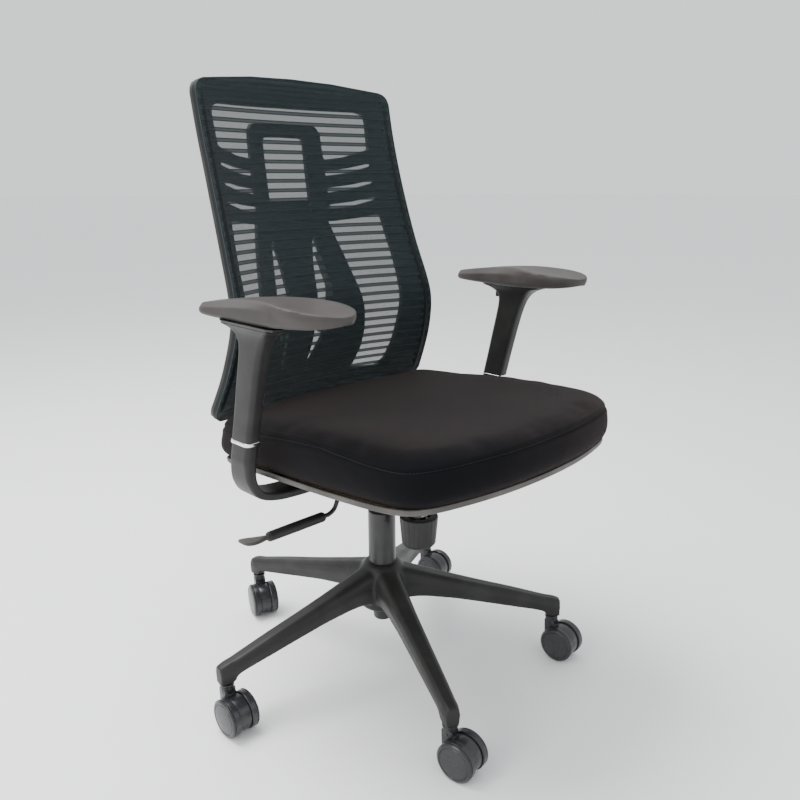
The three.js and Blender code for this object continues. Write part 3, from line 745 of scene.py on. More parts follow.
def screws(name, body, places):
    """Socket screws at (point, facing) places in millimetres, as one piece."""
    hexagon = [(0.28 * math.cos(math.radians(60 * i)), 0.28 * math.sin(math.radians(60 * i)))
               for i in range(6)]
    outer = [[(r * math.cos(2 * math.pi * i / 24), r * math.sin(2 * math.pi * i / 24), z) for i in range(24)]
             for r, z in ((0.5, -0.3), (0.5, 0.1), (0.46, 0.2), (0.38, 0.24))]
    recess = [[(*(Vector(hexagon[i // 4]).lerp(Vector(hexagon[(i // 4 + 1) % 6]), (i % 4) / 4)), z)
               for i in range(24)] for z in (0.24, -0.1)]
    head = bpy.data.objects.new("screw_head", bpy.data.meshes.new("screw_head"))
    head.data.from_pydata(*[loft([*outer, *recess])[0], [], loft([*outer, *recess])[1]])
    bpy.context.scene.collection.objects.link(head)
    points = bpy.data.meshes.new(name)
    points.from_pydata([(Vector(p) + COLUMN) * MM for p, _ in places], [], [])
    facing = points.attributes.new("facing", "FLOAT_VECTOR", "POINT")
    facing.data.foreach_set("vector", [c for _, f in places for c in Vector(f).normalized()])
    obj = bpy.data.objects.new(name, points)
    bpy.context.scene.collection.objects.link(obj)
    screw_growth().grow(obj, Screw=head, Size=sizes().screw, Finish=finish("steel"))
    bpy.data.objects.remove(head)
    return settle(obj, body, "steel", crease=30)


# ---- star base and casters -----------------------------------------------------------------------
def spin(degrees, x=0.0, y=0.0, z=0.0):
    return Matrix.Translation((x, y, z)) @ Matrix.Rotation(math.radians(degrees), 4, "Z")


def stem_place(k):
    a = math.radians(ARM_ANGLES[k])
    return spin(CASTER_TURNS[k], BASE_RADIUS * math.cos(a), BASE_RADIUS * math.sin(a))


HUB_BLEND = (62, 120)  # where the hub's heavy smoothing starts to fade, and where it has gone
HUB_PASSES, ARM_PASSES = 34, 2


def star_arm(degrees):
    """Arm with a flat ridge between bevelled shoulders, ending in a blunt block over its caster."""
    # from the column, top, underside, width
    rows = catmull([(18, 196, 124, 60), (60, 184, 132, 51), (120, 167, 127, 42), (180, 151, 116, 37),
                    (240, 136, 104, 33), (298, 120, 92, 29.5), (309, 117.5, 82, 29), (322, 115, 79, 28.4),
                    (333.6, 111, 79.5, 23)], 5)
    section = [(0.25, 1), (0.42, 0.87), (0.5, 0.58), (0.42, 0), (-0.42, 0), (-0.5, 0.58), (-0.42, 0.87),
               (-0.25, 1)]
    rings = []
    for r, top, low, width in rows:
        ring = fillet([(a * width, low + (top - low) * b) for a, b in section], 3.0, 3)
        rings.append([(r, p, q) for p, q in ring])
    return moved(loft(rings), spin(degrees))


def star_base():
    """Five arms melted into a domed hub, smoothed hard near the column and lightly further out."""
    hub = lathe([(0, 112), (39, 112), (43, 118), (44, 160), (43, 178), (39, 190), (34, 197), (29.5, 200.6),
                 (0, 201.6)], 96, 3.0)
    parts = [star_arm(a) for a in ARM_ANGLES]
    obj = raw("base_star", joined(hub, *parts), finish("black_plastic"))
    shell = obj.modifiers.new("melt", "REMESH")
    shell.mode, shell.voxel_size = "VOXEL", sizes().base_voxel
    bake(obj)
    middle = obj.vertex_groups.new(name="middle")
    for v in obj.data.vertices:
        reach = (v.co / MM - COLUMN).xy.length
        middle.add([v.index], 1 - rise(reach, *HUB_BLEND), "REPLACE")
    for group, passes in (("middle", HUB_PASSES), ("", ARM_PASSES)):
        soften = obj.modifiers.new("soften", "SMOOTH")
        soften.factor, soften.iterations, soften.vertex_group = 0.5, passes, group
    bake(obj)
    return settle(obj, "base", "black_plastic", "star_base", crease=60)


def caster_hood():
    """Wide band over the wheels' inner halves with a boss for the stem."""
    arc = [(-TRAIL + 29.6 * math.cos(math.radians(a)), WHEEL + 29.6 * math.sin(math.radians(a)))
           for a in range(64, 300, 6)]
    outline = fillet([*arc, (-2, 20), (7.5, 40), (9, 71), (-8, 71)], 3.0, 3)
    band = loft([[(x, y, z) for y, z in outline] for x in (-10.3, 10.3)])
    boss = lathe([(0, 62), (10.8, 62), (11.2, 64), (11.2, 73.4), (0, 73.7)], 40, 0.8)
    return band, boss


def caster_wheel(sign):
    """Wheel with a knurled shoulder, a rim groove and a slightly domed face."""
    face = [(0, 11), (27.8, 11), (31.2, 11), (32, 12.4), (32, 20), (31.6, 20.6), (30.7, 20.8), (30.7, 21.4),
            (31.3, 21.6), (31.2, 23.2), (29, 25), (26.6, 25.3), (26.0, 24.5), (25.2, 24.5), (24.4, 25.4),
            (12, 26.4), (0, 26.7)]
    turn = Matrix.Rotation(math.radians(90 if sign > 0 else -90), 4, "Y")
    wheel = lathe(face, 72, 0.35)
    ribs = []
    for i in range(60):
        a = 2 * math.pi * i / 60
        block = loft([[(r, t, z) for r, t in ((31.0, -0.7), (32.0, -0.45), (32.0, 0.45), (31.0, 0.7))]
                      for z in (21.9, 23.3)])
        ribs.append(moved(block, Matrix.Rotation(a, 4, "Z")))
    return moved(joined(wheel, *ribs), Matrix.Translation((0, -TRAIL, WHEEL)) @ turn)


def casters():
    collar = tube_wall([(5.6, 74), (11.6, 74), (12, 74.8), (12, 78.4), (5.6, 78.8)], 48, 0.4)
    for k in range(5):
        place, n = stem_place(k), k + 1
        band, boss = caster_hood()
        hood = raw(f"hood_{n}", moved(band, place), finish("caster_nylon"))
        bevelled(hood, 1.3)
        top = raw(f"hood_boss_{n}", moved(boss, place), finish("caster_nylon"))
        settle(hood, f"caster_{n}", "caster_nylon", f"caster_{n}_hood")
        settle(top, f"caster_{n}", "caster_nylon")
        for side, sign in (("a", -1), ("b", 1)):
            solid(f"wheel_{n}_{side}", moved(caster_wheel(sign), place), "caster_nylon",
                  f"wheel_{n}_{side}", f"caster_{n}_wheel_{side}", crease=32)
        solid(f"stem_collar_{n}", moved(collar, place), "caster_nylon", "base")
        dress("steel", f"caster_{n}_stem", f"caster_{n}_axle")


# ---- lift, tilt housing and lever ----------------------------------------------------------------
def lift():
    wall = tube_wall([(20.6, 128), (24.9, 150), (25, 298), (24.4, 300), (20.8, 300.2), (20.6, 298)], 96, 0.6)
    foot = lathe([(0, 84), (16, 84), (17, 86), (24.6, 148), (24.9, 152), (20, 152), (0, 150)], 96, 0.8)
    solid("lift_outer_tube", joined(wall, foot), "painted_steel", "base", "lift_tube")
    bush = tube_wall([(14.3, 225), (20.3, 225), (20.3, 301.5), (18.8, 303), (14.3, 303)], 72, 0.6)
    solid("lift_bush", bush, "caster_nylon", "base", "lift_bushing")
    solid("lift_inner_tube", lathe([(0, 335), (4.4, 335), (4.4, 352), (12.8, 352), (14, 312), (14, 107),
                                    (13, 105), (5.4, 105), (5.4, 110), (0, 110)], 72, 0.5),
          "painted_steel", "column", "lift_cylinder")
    plug = moved(lathe([(0, 0), (2.6, 0), (2.6, 0.5), (2.0, 0.8), (0, 0.9)], 24, 0.2),
                 Matrix.Translation((-12.6, -21.6, 286)) @ Matrix.Rotation(math.radians(90), 4, "X")
                 @ Matrix.Rotation(math.radians(-30), 4, "Y"))
    solid("lift_plug", plug, "caster_nylon", "base")
    dress("steel", "lift_rod", "lift_button")


def tension_knob():
    """Tapered knob with rounded flutes and a soft lower edge."""
    n = sizes().flutes
    rows = fillet([(4, 264), (26, 264), (29.6, 268.5), (33.4, 312), (33.4, 317), (31.5, 318), (21, 318)],
                  2.0, 4, closed=False)
    rings = []
    for r, z in rows:
        ring, bite = [], 0.8 * min(1.0, max(0.0, (z - 266) / 6)) * (1.0 if r > 26 else 0.0)
        for i in range(n * 8):
            a = 2 * math.pi * i / (n * 8)
            dip = bite * max(0.0, math.cos(n * a)) ** 2
            ring.append(((r - dip) * math.cos(a), (r - dip) * math.sin(a) + KNOB_Y, z))
        rings.append(ring)
    inner = [[(21 * math.cos(2 * math.pi * i / (n * 8)), 21 * math.sin(2 * math.pi * i / (n * 8)) + KNOB_Y, z)
              for i in range(n * 8)] for z in (318, 270)]
    solid("tension_grip", loft([*rings, *inner]), "black_plastic", "knob", "tension_knob", crease=50)


def lever():
    side = Vector((0, 1, 0))
    path = catmull([(30, 0, 366), (-40, 0, 365), (-86, 0, 361), (-101, 0, 350), (-110, 0, 335),
                    (-122, 0, 328.6), (-137, 0, 328), (-245, 0, 328)], 9)
    wire = [(4 * math.cos(2 * math.pi * i / 20), 4 * math.sin(2 * math.pi * i / 20)) for i in range(20)]
    solid("lever_wire", bar(path, side, lambda t: wire), "painted_steel", "lever", "lever_rod")
    sleeve = tube_wall([(4.4, 6), (7.4, 6), (8.6, 8.5), (8.7, 60), (8.3, 116), (7.4, 119), (4.4, 119)],
                       40, 0.8)
    turn = Matrix.Translation((-128, 0, 328)) @ Matrix.Rotation(math.radians(-90), 4, "Y")
    solid("lever_grip", moved(sleeve, turn), "black_plastic", "lever", "lever_sleeve")
    rows = catmull([(-247.4, 7.5, 8, 0), (-252, 9, 8.4, 0.3), (-260, 15, 7.6, 1), (-272, 23, 6, 2.6),
                    (-284, 27, 5, 4.6), (-293, 24, 4.4, 6.6), (-297.4, 15, 3.2, 7.8), (-298.6, 8, 2, 8.1)], 5)
    rings = []
    for x, width, thick, rise in rows:
        dish = max(0.0, (width - 12) / 15) * 1.6
        rings.append([(x, a, 328 + rise + b - (dish * (1 - (2 * a / width) ** 2) if b > 0 else dish * 0.4))
                      for a, b in rounded(width, thick, min(thick * 0.48, width * 0.4), 5)])
    solid("lever_spoon", loft(rings), "grey_plastic", "lever", "lever_paddle", crease=60)


def mechanism():
    dress("painted_steel", "mech_housing", "seat_plate")
    dress("steel", "tilt_axle", "tension_bolt", "tension_spring")
    tension_knob()
    places = [(on_seat((x, y, 0)), (0, -math.sin(math.radians(SEAT_TILT)), -1))
              for x in (-80, 80) for y in (-135, -60, 60, 130)]
    screws("seat_plate_screws", "upper", places)


# ---- seat ----------------------------------------------------------------------------------------
TILT = Matrix.Translation((0, 0, SEAT_Z)) @ Matrix.Rotation(math.radians(-SEAT_TILT), 4, "X")
COVER_PRESSURE, COVER_FRAMES, COVER_PASSES = 4.0, 20, 24
WELT_RADIUS, WELT_DROP = 0.0009, 1.2
SEAM_CENTRE = -106  # the seam is sought on lines that close in on this place along the seat
GROOVE_REACH, GROOVE_WIDTH = (-14, 10), 1.7  # how far under and over the seam the cover is moved
PUFF, PUFF_AT, PUFF_WIDTH, FLAT_MIDDLE = 0.7, 6, 3.0, 150


def on_seat(point):
    """A point drawn in the plane of the seat, placed on the chair."""
    return tuple(TILT @ Vector(point))


def seat_plan(inset, spacing=9.0):
    """Outline of the cover seen from above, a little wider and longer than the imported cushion, drawn in
    by inset."""
    half = [(0, -369), (90, -364), (172, -348), (220, -330), (243, -304), (253, -255), (257, -160),
            (256, -60), (254, 40), (252, 95), (246, 126), (222, 139), (170, 141), (110, 147), (0, 150)]
    loop = [*half, *[(-x, y) for x, y in half[::-1][1:-1]]]
    curve = catmull([*loop[-2:], *loop, *loop[:2]], 8)[16:-8]
    middle, depth = (SEAT_FRONT + SEAT_REAR) / 2, (SEAT_REAR - SEAT_FRONT) / 2
    kx, ky = 1 - inset / SEAT_HALF, 1 - inset / depth
    return [(x * kx, middle + (y - middle) * ky) for x, y in resample(curve[:-1], spacing)]


def seat_rings(rows, back=lambda x, y, z: 0.0, up=lambda x, y, z: 0.0):
    """Rings of the seat's outline, one per inset and height, with each corner moved back and up."""
    return [[on_seat((x, y + back(x, y, z), z + up(x, y, z))) for x, y in seat_plan(inset)]
            for inset, z in rows]


def simulated(obj, swell):
    """Foam under its cover: remeshed, swollen by pressure as cloth, and held within swell of its start."""
    shell = obj.modifiers.new("foam", "REMESH")
    shell.mode, shell.voxel_size = "VOXEL", sizes().voxel
    bake(obj)
    start = np.zeros(len(obj.data.vertices) * 3)
    obj.data.vertices.foreach_get("co", start)
    cloth = obj.modifiers.new("cover", "CLOTH")
    cloth.settings.use_pressure = True
    cloth.settings.uniform_pressure_force = COVER_PRESSURE
    cloth.settings.effector_weights.gravity = 0.0
    cloth.settings.quality = 5
    cloth.point_cache.frame_start, cloth.point_cache.frame_end = 1, COVER_FRAMES
    for number in range(1, COVER_FRAMES + 1):
        bpy.context.scene.frame_set(number)
    bake(obj)
    bpy.context.scene.frame_set(1)
    end = np.zeros(len(start))
    obj.data.vertices.foreach_get("co", end)
    move = (end - start).reshape(-1, 3)
    far = np.linalg.norm(move, axis=1, keepdims=True)
    move *= np.minimum(1.0, swell / np.maximum(far, 1e-9))
    obj.data.vertices.foreach_set("co", (start.reshape(-1, 3) + move).ravel())
    obj.data.update()


def crest(x, y, z):
    """Extra height of the cushion's side edges, most of it halfway along them, growing with height."""
    return 6.0 * math.exp(-((y + 130) / 120) ** 2) * rise(abs(x), 110, 235) * max(0.0, (z - 45) / 60)


def tail(x, y, z):
    """How far the foot of the cushion reaches back under the back rest."""
    return 12.0 * rise(y, 60, 140) * (1 - rise(z, 52, 74))


def seam_height(y):
    """The seam's height above the plane of the seat: lowest at both ends, highest along the sides."""
    return float(np.interp(y, [-368, -330, -250, -150, -60, 40, 138], [87, 86, 90, 97, 95, 90, 86]))


def cushion():
    rows = [(12, 33), (8, 35), (2, 42), (0, 54), (0, 68), (1.5, 82), (4, 91), (7.5, 97.5), (13, 101.5),
            (26, 104), (60, 105), (110, 105), (160, 105)]
    obj = raw("seat_cushion_cover", loft(seat_rings(rows, tail, crest)), finish("seat_fabric"))
    simulated(obj, sizes().swell)
    calm = obj.modifiers.new("calm", "SMOOTH")
    calm.factor, calm.iterations = 0.5, COVER_PASSES
    bake(obj)
    fine = obj.modifiers.new("fine", "SUBSURF")
    fine.levels = fine.render_levels = 1
    bake(obj)
    groove(obj)
    tree = BVHTree.FromPolygons([v.co.copy() for v in obj.data.vertices],
                                [tuple(p.vertices) for p in obj.data.polygons])
    seam = []
    for x, y in seat_plan(-30, 4.0):
        out = Vector(on_seat((x, y, seam_height(y))))
        to = Vector(on_seat((x * 0.5, (y - SEAM_CENTRE) * 0.5 + SEAM_CENTRE, seam_height(y))))
        hit = tree.ray_cast((out + COLUMN) * MM, (to - out).normalized())[0]
        if hit is not None:
            seam.append(tuple(hit / MM - COLUMN))
    smoothed(obj, 80)
    settle(obj, "upper", "seat_fabric", "seat_cushion", crease=80)
    line = path_object("seat_seam_stitches", [seam])
    stitch_growth().grow(line, Pitch=sizes().stitch_pitch, Length=sizes().stitch, Radius=sizes().thread,
                         Finish=finish("thread"))
    settle(line, "upper", "seat_fabric", crease=60)
    welt = path_object("seat_seam_welt", [[tuple(Vector(p) - Vector((0, 0, WELT_DROP))) for p in seam]])
    cord_growth().grow(welt, Radius=WELT_RADIUS, Finish=finish("seat_fabric"))
    settle(welt, "upper", "seat_fabric", crease=60)


def groove(obj):
    """Draws the cover in along the seam and lets it puff on both sides of it."""
    back = (Matrix.Translation(COLUMN * MM) @ Matrix.Scale(MM, 4) @ TILT).inverted()
    centre = np.array([0.0, (SEAT_FRONT + SEAT_REAR) / 2])
    for v in obj.data.vertices:
        p = back @ v.co
        gap = p.z - seam_height(p.y)
        out = np.array([p.x, p.y]) - centre
        reach = np.linalg.norm(out)
        if not GROOVE_REACH[0] <= gap < GROOVE_REACH[1] or reach < FLAT_MIDDLE:
            continue
        out /= reach
        dip = -sizes().seam / MM * math.exp(-(gap / GROOVE_WIDTH) ** 2)
        dip += PUFF * math.exp(-((abs(gap) - PUFF_AT) / PUFF_WIDTH) ** 2)
        v.co = v.co + Vector((out[0], out[1], 0)) * dip * MM


def seat():
    rows = [(80, 4.3), (60, 8), (16, 23.5), (10, 26), (8, 28.5), (7.6, 34.4), (8.2, 35), (10.4, 35),
            (11, 34.4), (12, 31.6), (20, 25), (64, 12), (78, 8.6)]
    tucked = lambda x, y, z: 7.0 * rise(-y, 180, 360)
    solid("seat_tray", loft(seat_rings(rows, tucked)), "grey_plastic", "upper", "seat_pan", crease=40)
    dress("plywood", "seat_board")
    cushion()


# ---- armrests ------------------------------------------------------------------------------------
def arm_y(z):
    return -18 - RAKE * (z - RING_Z)


def arm_ring_at(s, z, depth, thick, radius, shift=0.0):
    return [(s * ARM_X + b, arm_y(z) + shift + a, z) for a, b in rounded(depth, thick, radius, 7)]


def arm_bracket(s):
    line = catmull([(108, 394), (150, 394), (190, 394.5), (235, 399), (268, 412), (285, 438), (290, 468),
                    (290, 482), (290, 499.6)], 6)
    path = [(s * x, arm_y(z), z) for x, z in line]

    def section(t):
        upright = rise(t, 0.45, 0.85)
        return rounded(52 - 7 * upright, 13 + 10 * upright, 4 + 4 * upright, 6)
    foot = bar(path, Vector((0, 1, 0)), section)
    post = loft([[(s * ARM_X + b, arm_y(z) + a, z) for a, b in rounded(30, 11, 4, 4)] for z in (480, 640)])
    name = "right" if s < 0 else "left"
    solid(f"arm_elbow_{name}", joined(foot, post), "black_plastic", "upper", f"arm_bracket_{name}", crease=50)


def armrest(s):
    name = "right" if s < 0 else "left"
    arm_bracket(s)
    outer = [arm_ring_at(s, z, 48.4 - d, 26.2 - d, 9) for z, d in
             ((500.4, 1.2), (500.9, 0.2), (502, 0), (504.6, 0), (505.7, 0.2), (506.2, 1.2))]
    inner = [arm_ring_at(s, z, 34, 15, 5) for z in (506.2, 500.4)]
    solid(f"arm_trim_{name}", loft([*outer, *inner]), "chrome", "upper", f"arm_ring_{name}", crease=50)
    # height, depth, thickness, corner radius, shift
    rows = catmull([(506.5, 45, 23.4, 7.5, 0), (508, 46, 24, 8, 0), (545, 46.4, 24, 8, 0),
                    (590, 48, 24, 8, 0),
                    (625, 50, 24, 8, -0.6), (648, 54, 24.6, 8.2, -1.4), (662, 63, 26, 9, -1.6),
                    (671, 80, 29, 10, -0.6), (677, 104, 34, 12, 1.6), (680.8, 131, 38, 14, 4)], 5)
    skin = [arm_ring_at(s, z, d, w, r, q) for z, d, w, r, q in rows]
    hollow = [arm_ring_at(s, z, 32, 13, 4) for z in (668, 506.5)]
    solid(f"arm_upright_{name}", loft([*skin, *hollow]), "black_plastic", f"arm_{name}",
          f"arm_sleeve_{name}", crease=50)
    arm_pad(s, name)
    dress("black_plastic", f"arm_plate_{name}", f"arm_trigger_{name}")


def arm_pad(s, name):
    """Pad with a narrow top over sloping sides at the back, widening to a dished paddle in front."""
    # along the pad, half width at the foot and at the top, underside, top, dish
    rows = catmull([(146, 9, 6, 690, 697, 0), (144.8, 14, 9, 688.6, 700, 0), (140, 19, 12, 687.2, 702.6, 0),
                    (126, 23, 13.5, 686.4, 705.4, 0), (100, 26, 14.5, 686, 708.8, 0),
                    (62, 29, 15.5, 686, 714, 0), (24, 33, 19, 686, 718, 0.2),
                    (-10, 37, 28, 686.4, 720, 0.8), (-36, 40, 37, 687.6, 720, 1.6),
                    (-60, 41.5, 43.5, 689.4, 719, 2.3), (-85, 41, 45.5, 691, 717.6, 2.6),
                    (-110, 38, 41.5, 693, 715.6, 2.2), (-126, 31, 34, 695, 713.6, 1.5),
                    (-136, 22.5, 25.5, 696.6, 712, 0.8), (-142.5, 13.5, 16.5, 698.6, 710.6, 0.3),
                    (-145.2, 6, 8.5, 700.4, 709.2, 0)], 6)
    rings = []
    for y, foot, top, low, high, dish in rows:
        tall = high - low
        lip = min(4.0, tall * 0.3)
        edge = min(2.6, tall * 0.22, top * 0.4)
        waist, under = max(top, foot * 0.96 + top * 0.04), high - lip - (tall - lip) * 0.25
        side = [(top, high), (waist, under), (foot, low + tall * 0.2), (foot * 0.88, low)]
        corners = [*side, *[(-a, b) for a, b in side[::-1]],
                   (-top * 0.5, high), (0, high), (top * 0.5, high)]
        ring = []
        for a, b in resample(fillet(corners, edge, 4), count=72):
            sunk = dish * max(0.0, 1 - (a / (top * 0.86)) ** 2) if b > high - 0.6 else 0.0
            ring.append((a, y, b - sunk))
        rings.append(ring)
    place = Matrix.Translation((s * 275, -80, 0)) @ Matrix.Rotation(math.radians(-5 * s), 4, "Z")
    obj = raw(f"arm_cushion_{name}", moved(loft(rings), place), finish("soft_pad"))
    smoothed(obj, 60)
    settle(obj, f"arm_{name}", "soft_pad", f"arm_pad_{name}", crease=60)


# ---- back ----------------------------------------------------------------------------------------
edge_y, edge_x = reading(SIDE, 1), reading(SIDE, 2)


def bow(x, z):
    return np.maximum(0, 1 - (np.asarray(x) / edge_x(z)) ** 2)


def net_y(x, z):
    return edge_y(z) + np.interp(z, *zip(*NET_DEPTH)) * bow(x, z)


def frame_y(x, z):
    return edge_y(z) + RIM + np.interp(z, *zip(*FRAME_DEPTH)) * bow(x, z) ** 1.4


def mirrored(half):
    return [(-x, z) for x, z in half]


def whole(half):
    return [*half, *mirrored([p for p in half if p[0] > 0])[::-1]]


def back_outline(inset):
    low, top = BACK_LOW + inset, BACK_TOP - inset
    side = [(float(edge_x(z)) - inset, z) for z in np.linspace(low + 24, top - 18, 40)]
    wide, narrow = side[0][0], side[-1][0]
    return whole([(0, low - 3), (wide - 60, low - 0.5), (wide - 16, low + 3), (wide - 4, low + 11), *side,
                  (narrow - 2.5, top - 9), (narrow - 8, top - 2.2), (narrow - 18, top + 1.5),
                  (narrow - 60, top + 6), (narrow - 120, top + BACK_CROWN * 0.83), (0, top + BACK_CROWN)])


def frame_windows():
    """Windows of the moulded frame as (x, z) corners."""
    top = [(0, 997), (150, 995), (165, 990), (168, 978), (166, 928), (120, 914), (80, 909), (78, 955),
           (70, 968), (0, 971)]
    low = [(84, 798), (130, 803), (168, 812), (176, 730), (179, 640), (179, 560), (176, 526), (166, 510),
           (0, 503)]
    slits = []
    for k in range(3):
        z = 885 - 30.5 * k
        slits.append([(80, z - 5), (122, z), (167, z + 13), (167, z + 19), (122, z + 9), (80, z + 4)])
    loop = [(0, 812), (46, 812), (46, 940), (42, 946), (0, 947)]
    return [whole(top), whole(low), whole(loop), *slits, *[mirrored(s) for s in slits]]


def back_frame():
    shape = pierced(back_outline(2), frame_windows(), frame_y, PLATE, 9.0, 6.0)
    solid("back_frame_moulding", shape, "black_plastic", "upper", "back_frame", bevel=2.0, crease=50)
    half = [(0, 836), (62, 836), (78, 806), (95, 744), (108, 690), (121, 637), (128, 590), (129, 550),
            (124, 515), (112, 484), (0, 484)]
    slit = [(47, 785), (36, 720), (33, 680), (31, 620), (30, 565), (24, 500), (38, 540), (53, 590),
            (63, 640), (65, 676), (58, 722)]
    flange = [(60, 740), (67, 740), (76, 680), (73, 636), (62, 586), (56, 586), (66, 640), (69, 678)]
    front = lambda x, z: frame_y(x, z) + PLATE + 0.3
    shape = joined(pierced(whole(half), [slit, mirrored(slit)], front, 10, 9.0, 8.0),
                   *[pierced(f, [], front, 30, 6.0) for f in (flange, mirrored(flange)[::-1])])
    solid("back_spine_moulding", shape, "black_plastic", "upper", "back_spine", bevel=2.4, crease=50)


def back_rim():
    """Side wall of the back: a rounded band between the netting and the frame, all the way round."""
    line = resample(back_outline(0.4), 6.0)
    along = np.roll(line, -1, axis=0) - np.roll(line, 1, axis=0)
    inward = np.stack([-along[:, 1], along[:, 0]], axis=1) / np.linalg.norm(along, axis=1, keepdims=True)
    if np.mean(np.sum(inward * (np.array([0, 750]) - line), axis=1)) < 0:
        inward = -inward
    rings = []
    section = [(0.0, 0.0), (0.0, 0.16), (0.0, 0.5), (0.0, 0.84), (0.0, 1.0), (6.0, 1.0), (13, 1.0),
               (13, 0.5), (13, 0.0), (6.0, 0.0)]
    for p, n in zip(line, inward):
        x, z = p + n * 2.0
        near, far = float(net_y(x, z)) + 1.6, float(frame_y(x, z)) - 0.4
        rings.append([(p[0] + n[0] * d, near + (far - near) * t, p[1] + n[1] * d) for d, t in section])
    verts, faces = loft([*rings, rings[0]], capped=False)
    # The rim finish is the black plastic darkened as painted shade.
    obj = raw("back_rim_wall", (verts, faces), finish("rim"))
    bevelled(obj, 1.6)
    settle(obj, "upper", "black_plastic", "back_rim", crease=45)


def back_net():
    """Stretched netting, its hem, and the pairs of thick cords knitted across it."""
    verts, faces = pierced(back_outline(1.0), [], net_y, 0, 8.0)
    obj = raw("back_netting_sheet", (verts, faces), finish("back_netting"))
    heights = np.linspace(BACK_LOW - 10, BACK_TOP + 30, 300)
    run = np.concatenate([[0], np.cumsum(np.hypot(np.diff(heights), np.diff(net_y(0, heights))))])
    uv = obj.data.uv_layers.new(name="cloth")
    for loop in obj.data.loops:
        p = obj.data.vertices[loop.vertex_index].co / MM - COLUMN
        uv.data[loop.index].uv = (p.x * MM, float(np.interp(p.z, heights, run)) * MM)
    settle(obj, "upper", "back_netting", "back_mesh", crease=80)

    hem = resample(back_outline(0.8), 5.0)
    rings = [[(x, float(net_y(x, z)) + 0.8, z) for x, z in hem]]
    edge = path_object("back_hem", rings)
    cord_growth().grow(edge, Radius=sizes().hem, Finish=finish("yarn"))
    settle(edge, "upper", "back_netting", crease=60)

    pitch, paths = sizes().band / MM, []
    limit = back_outline(6.0)
    for row in range(int(run[-1] / pitch) + 1):
        for share in (0.62, 0.91):
            z = float(np.interp((row + share) * pitch, run, heights))
            xs = np.linspace(-240, 240, 97)
            kept = xs[inside(np.stack([xs, np.full(97, z)], axis=1), [limit])]
            if len(kept) > 8:
                paths.append([(x, float(net_y(x, z)) - 0.2, z) for x in kept])
    cords = path_object("back_net_cords", paths, closed=False)
    cord_growth().grow(cords, Radius=sizes().cord, Finish=finish("yarn"))
    settle(cords, "upper", "back_netting", crease=60)


def back_bar():
    behind = lambda z: float(frame_y(0, z)) + PLATE + 19.6
    line = catmull([(90, 391), (165, 385.5), (215, 398), (252, 432), (behind(478) - 1, 478),
                    (behind(520), 520), (behind(560), 560), (behind(592), 592), (behind(600), 600)], 6)

    def section(t):
        shut = min(1.0, (1 - t) / 0.03)
        return rounded((84 - 20 * t) * (0.86 + 0.14 * shut), (12 + 3 * t) * (0.7 + 0.3 * shut), 4.2, 6)
    solid("back_carrier", bar([(0, y, z) for y, z in line], Vector((1, 0, 0)), section), "black_plastic",
          "upper", "back_bar", crease=50)
    places = [((x, behind(z) + 7.2, z), (0, 1, -0.1)) for x in (-20, 20) for z in (520, 575)]
    screws("back_carrier_screws", "upper", places)


# ---- stage ---------------------------------------------------------------------------------------
def area_light(name, at, to, size, power, tint=(1, 1, 1)):
    data = bpy.data.lights.new(name, "AREA")
    data.shape, data.size, data.energy, data.color = "DISK", size, power, tint
    lamp = bpy.data.objects.new(name, data)
    lamp.location = at
    lamp.rotation_mode = "QUATERNION"
    lamp.rotation_quaternion = (Vector(to) - Vector(at)).to_track_quat("-Z", "Y")
    bpy.context.scene.collection.objects.link(lamp)


def camera():
    """Standing view from the front right of the sitter's chair, a little above it."""
    data = bpy.data.cameras.new("view")
    data.sensor_width, data.lens = 36.0, 35.78
    data.shift_x, data.shift_y = -0.0075, 0.0036
    data.clip_start, data.clip_end = 0.05, 100
    turn, down, roll = math.radians(-44.7555), math.radians(15.9135), math.radians(-0.18)
    back = Vector((math.sin(turn) * math.cos(down), -math.cos(turn) * math.cos(down), math.sin(down)))
    right = Vector((math.cos(turn), math.sin(turn), 0))
    up = back.cross(right)
    right, up = right * math.cos(roll) + up * math.sin(roll), up * math.cos(roll) - right * math.sin(roll)
    obj = bpy.data.objects.new("view", data)
    place = Matrix((right, up, back)).transposed().to_4x4()
    place.translation = (Vector((-905.9, -977.1, 879.4)) + COLUMN) * MM
    obj.matrix_world = place
    bpy.context.scene.collection.objects.link(obj)
    bpy.context.scene.camera = obj


def floor():
    rings = [[(r * math.cos(2 * math.pi * i / 96), r * math.sin(2 * math.pi * i / 96), z) for i in range(96)]
             for r, z in ((40000, -40), (40000, -0.6), (1500, -0.6))]
    verts, faces = loft(rings)
    obj = raw("studio_floor", (verts, faces), finish("floor"))


def surroundings():
    world = bpy.data.worlds.new("studio")
    bpy.context.scene.world = world
    world.use_nodes = True
    glow = world.node_tree.nodes["Background"]
    glow.inputs["Color"].default_value = (0.80, 0.82, 0.83, 1.0)
    glow.inputs["Strength"].default_value = 1.4


# ---- operators -----------------------------------------------------------------------------------
class ChairStep:
    """What the chair's operators share."""
    bl_options = {"REGISTER", "UNDO"}

    def execute(self, context):
        self.make()
        return {"FINISHED"}


class CHAIR_OT_stage(ChairStep, bpy.types.Operator):
    """Add the floor, the soft studio lights and the camera"""
    bl_idname = "chair.stage"
    bl_label = "Stage"

    def make(self):
        camera()
        floor()
        surroundings()
        area_light("overhead", (-0.5, 1.0, 2.9), (0, 0, 0.3), 2.0, 120)
        area_light("window", (-2.7, 0.3, 1.9), (0, 0, 0.6), 1.6, 32, (1.0, 0.96, 0.92))
        area_light("front_fill", (1.2, -2.8, 1.5), (0, 0, 0.5), 1.8, 6, (0.9, 0.96, 1.0))


class CHAIR_OT_base(ChairStep, bpy.types.Operator):
    """Add the five-armed star base"""
    bl_idname = "chair.base"
    bl_label = "Star Base"
    make = staticmethod(star_base)


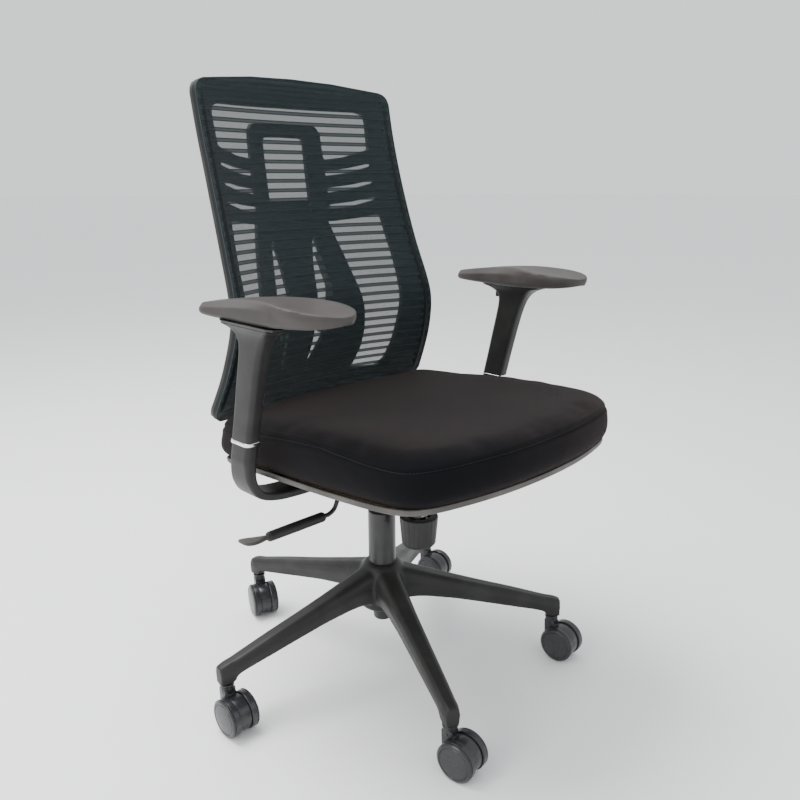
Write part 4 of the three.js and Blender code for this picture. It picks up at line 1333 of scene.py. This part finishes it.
class CHAIR_OT_casters(ChairStep, bpy.types.Operator):
    """Add the five twin-wheel casters"""
    bl_idname = "chair.casters"
    bl_label = "Casters"
    make = staticmethod(casters)


class CHAIR_OT_lift(ChairStep, bpy.types.Operator):
    """Add the gas lift"""
    bl_idname = "chair.lift"
    bl_label = "Gas Lift"
    make = staticmethod(lift)


class CHAIR_OT_mechanism(ChairStep, bpy.types.Operator):
    """Finish the tilt housing and add the tension knob and screws"""
    bl_idname = "chair.mechanism"
    bl_label = "Tilt Mechanism"
    make = staticmethod(mechanism)


class CHAIR_OT_lever(ChairStep, bpy.types.Operator):
    """Add the height lever"""
    bl_idname = "chair.lever"
    bl_label = "Height Lever"
    make = staticmethod(lever)


class CHAIR_OT_seat(ChairStep, bpy.types.Operator):
    """Add the seat tray and the padded cushion with its seam"""
    bl_idname = "chair.seat"
    bl_label = "Seat"
    make = staticmethod(seat)


class CHAIR_OT_armrests(ChairStep, bpy.types.Operator):
    """Add both armrests"""
    bl_idname = "chair.armrests"
    bl_label = "Armrests"

    def make(self):
        armrest(-1)
        armrest(1)


class CHAIR_OT_back_frame(ChairStep, bpy.types.Operator):
    """Add the moulded back frame, its rim, spine and carrier"""
    bl_idname = "chair.back_frame"
    bl_label = "Back Frame"

    def make(self):
        back_frame()
        back_rim()
        back_bar()


class CHAIR_OT_netting(ChairStep, bpy.types.Operator):
    """Add the stretched netting with its hem and cords"""
    bl_idname = "chair.netting"
    bl_label = "Back Netting"
    make = staticmethod(back_net)


STEPS = [CHAIR_OT_stage, CHAIR_OT_base, CHAIR_OT_casters, CHAIR_OT_lift, CHAIR_OT_mechanism, CHAIR_OT_lever,
         CHAIR_OT_seat, CHAIR_OT_armrests, CHAIR_OT_back_frame, CHAIR_OT_netting]


class VIEW3D_PT_office_chair(bpy.types.Panel):
    """Sizes, colours and steps of the office chair"""
    bl_idname = "VIEW3D_PT_office_chair"
    bl_label = "Office Chair"
    bl_space_type = "VIEW_3D"
    bl_region_type = "UI"
    bl_category = "Office Chair"

    def draw(self, context):
        for step in STEPS:
            self.layout.operator(step.bl_idname)
        for group in (context.scene.chair_sizes, context.scene.chair_colours):
            box = self.layout.box()
            for key in group.__annotations__:
                box.prop(group, key)


CLASSES = [ChairSizes, ChairColours, *STEPS, VIEW3D_PT_office_chair]


def register():
    for each in CLASSES:
        bpy.utils.register_class(each)
    bpy.types.Scene.chair_sizes = PointerProperty(type=ChairSizes)
    bpy.types.Scene.chair_colours = PointerProperty(type=ChairColours)


def unregister():
    del bpy.types.Scene.chair_colours
    del bpy.types.Scene.chair_sizes
    for each in reversed(CLASSES):
        bpy.utils.unregister_class(each)


def main():
    register()
    for step in STEPS:
        group, name = step.bl_idname.split(".")
        getattr(getattr(bpy.ops, group), name)()


if __name__ == "__main__":
    main()
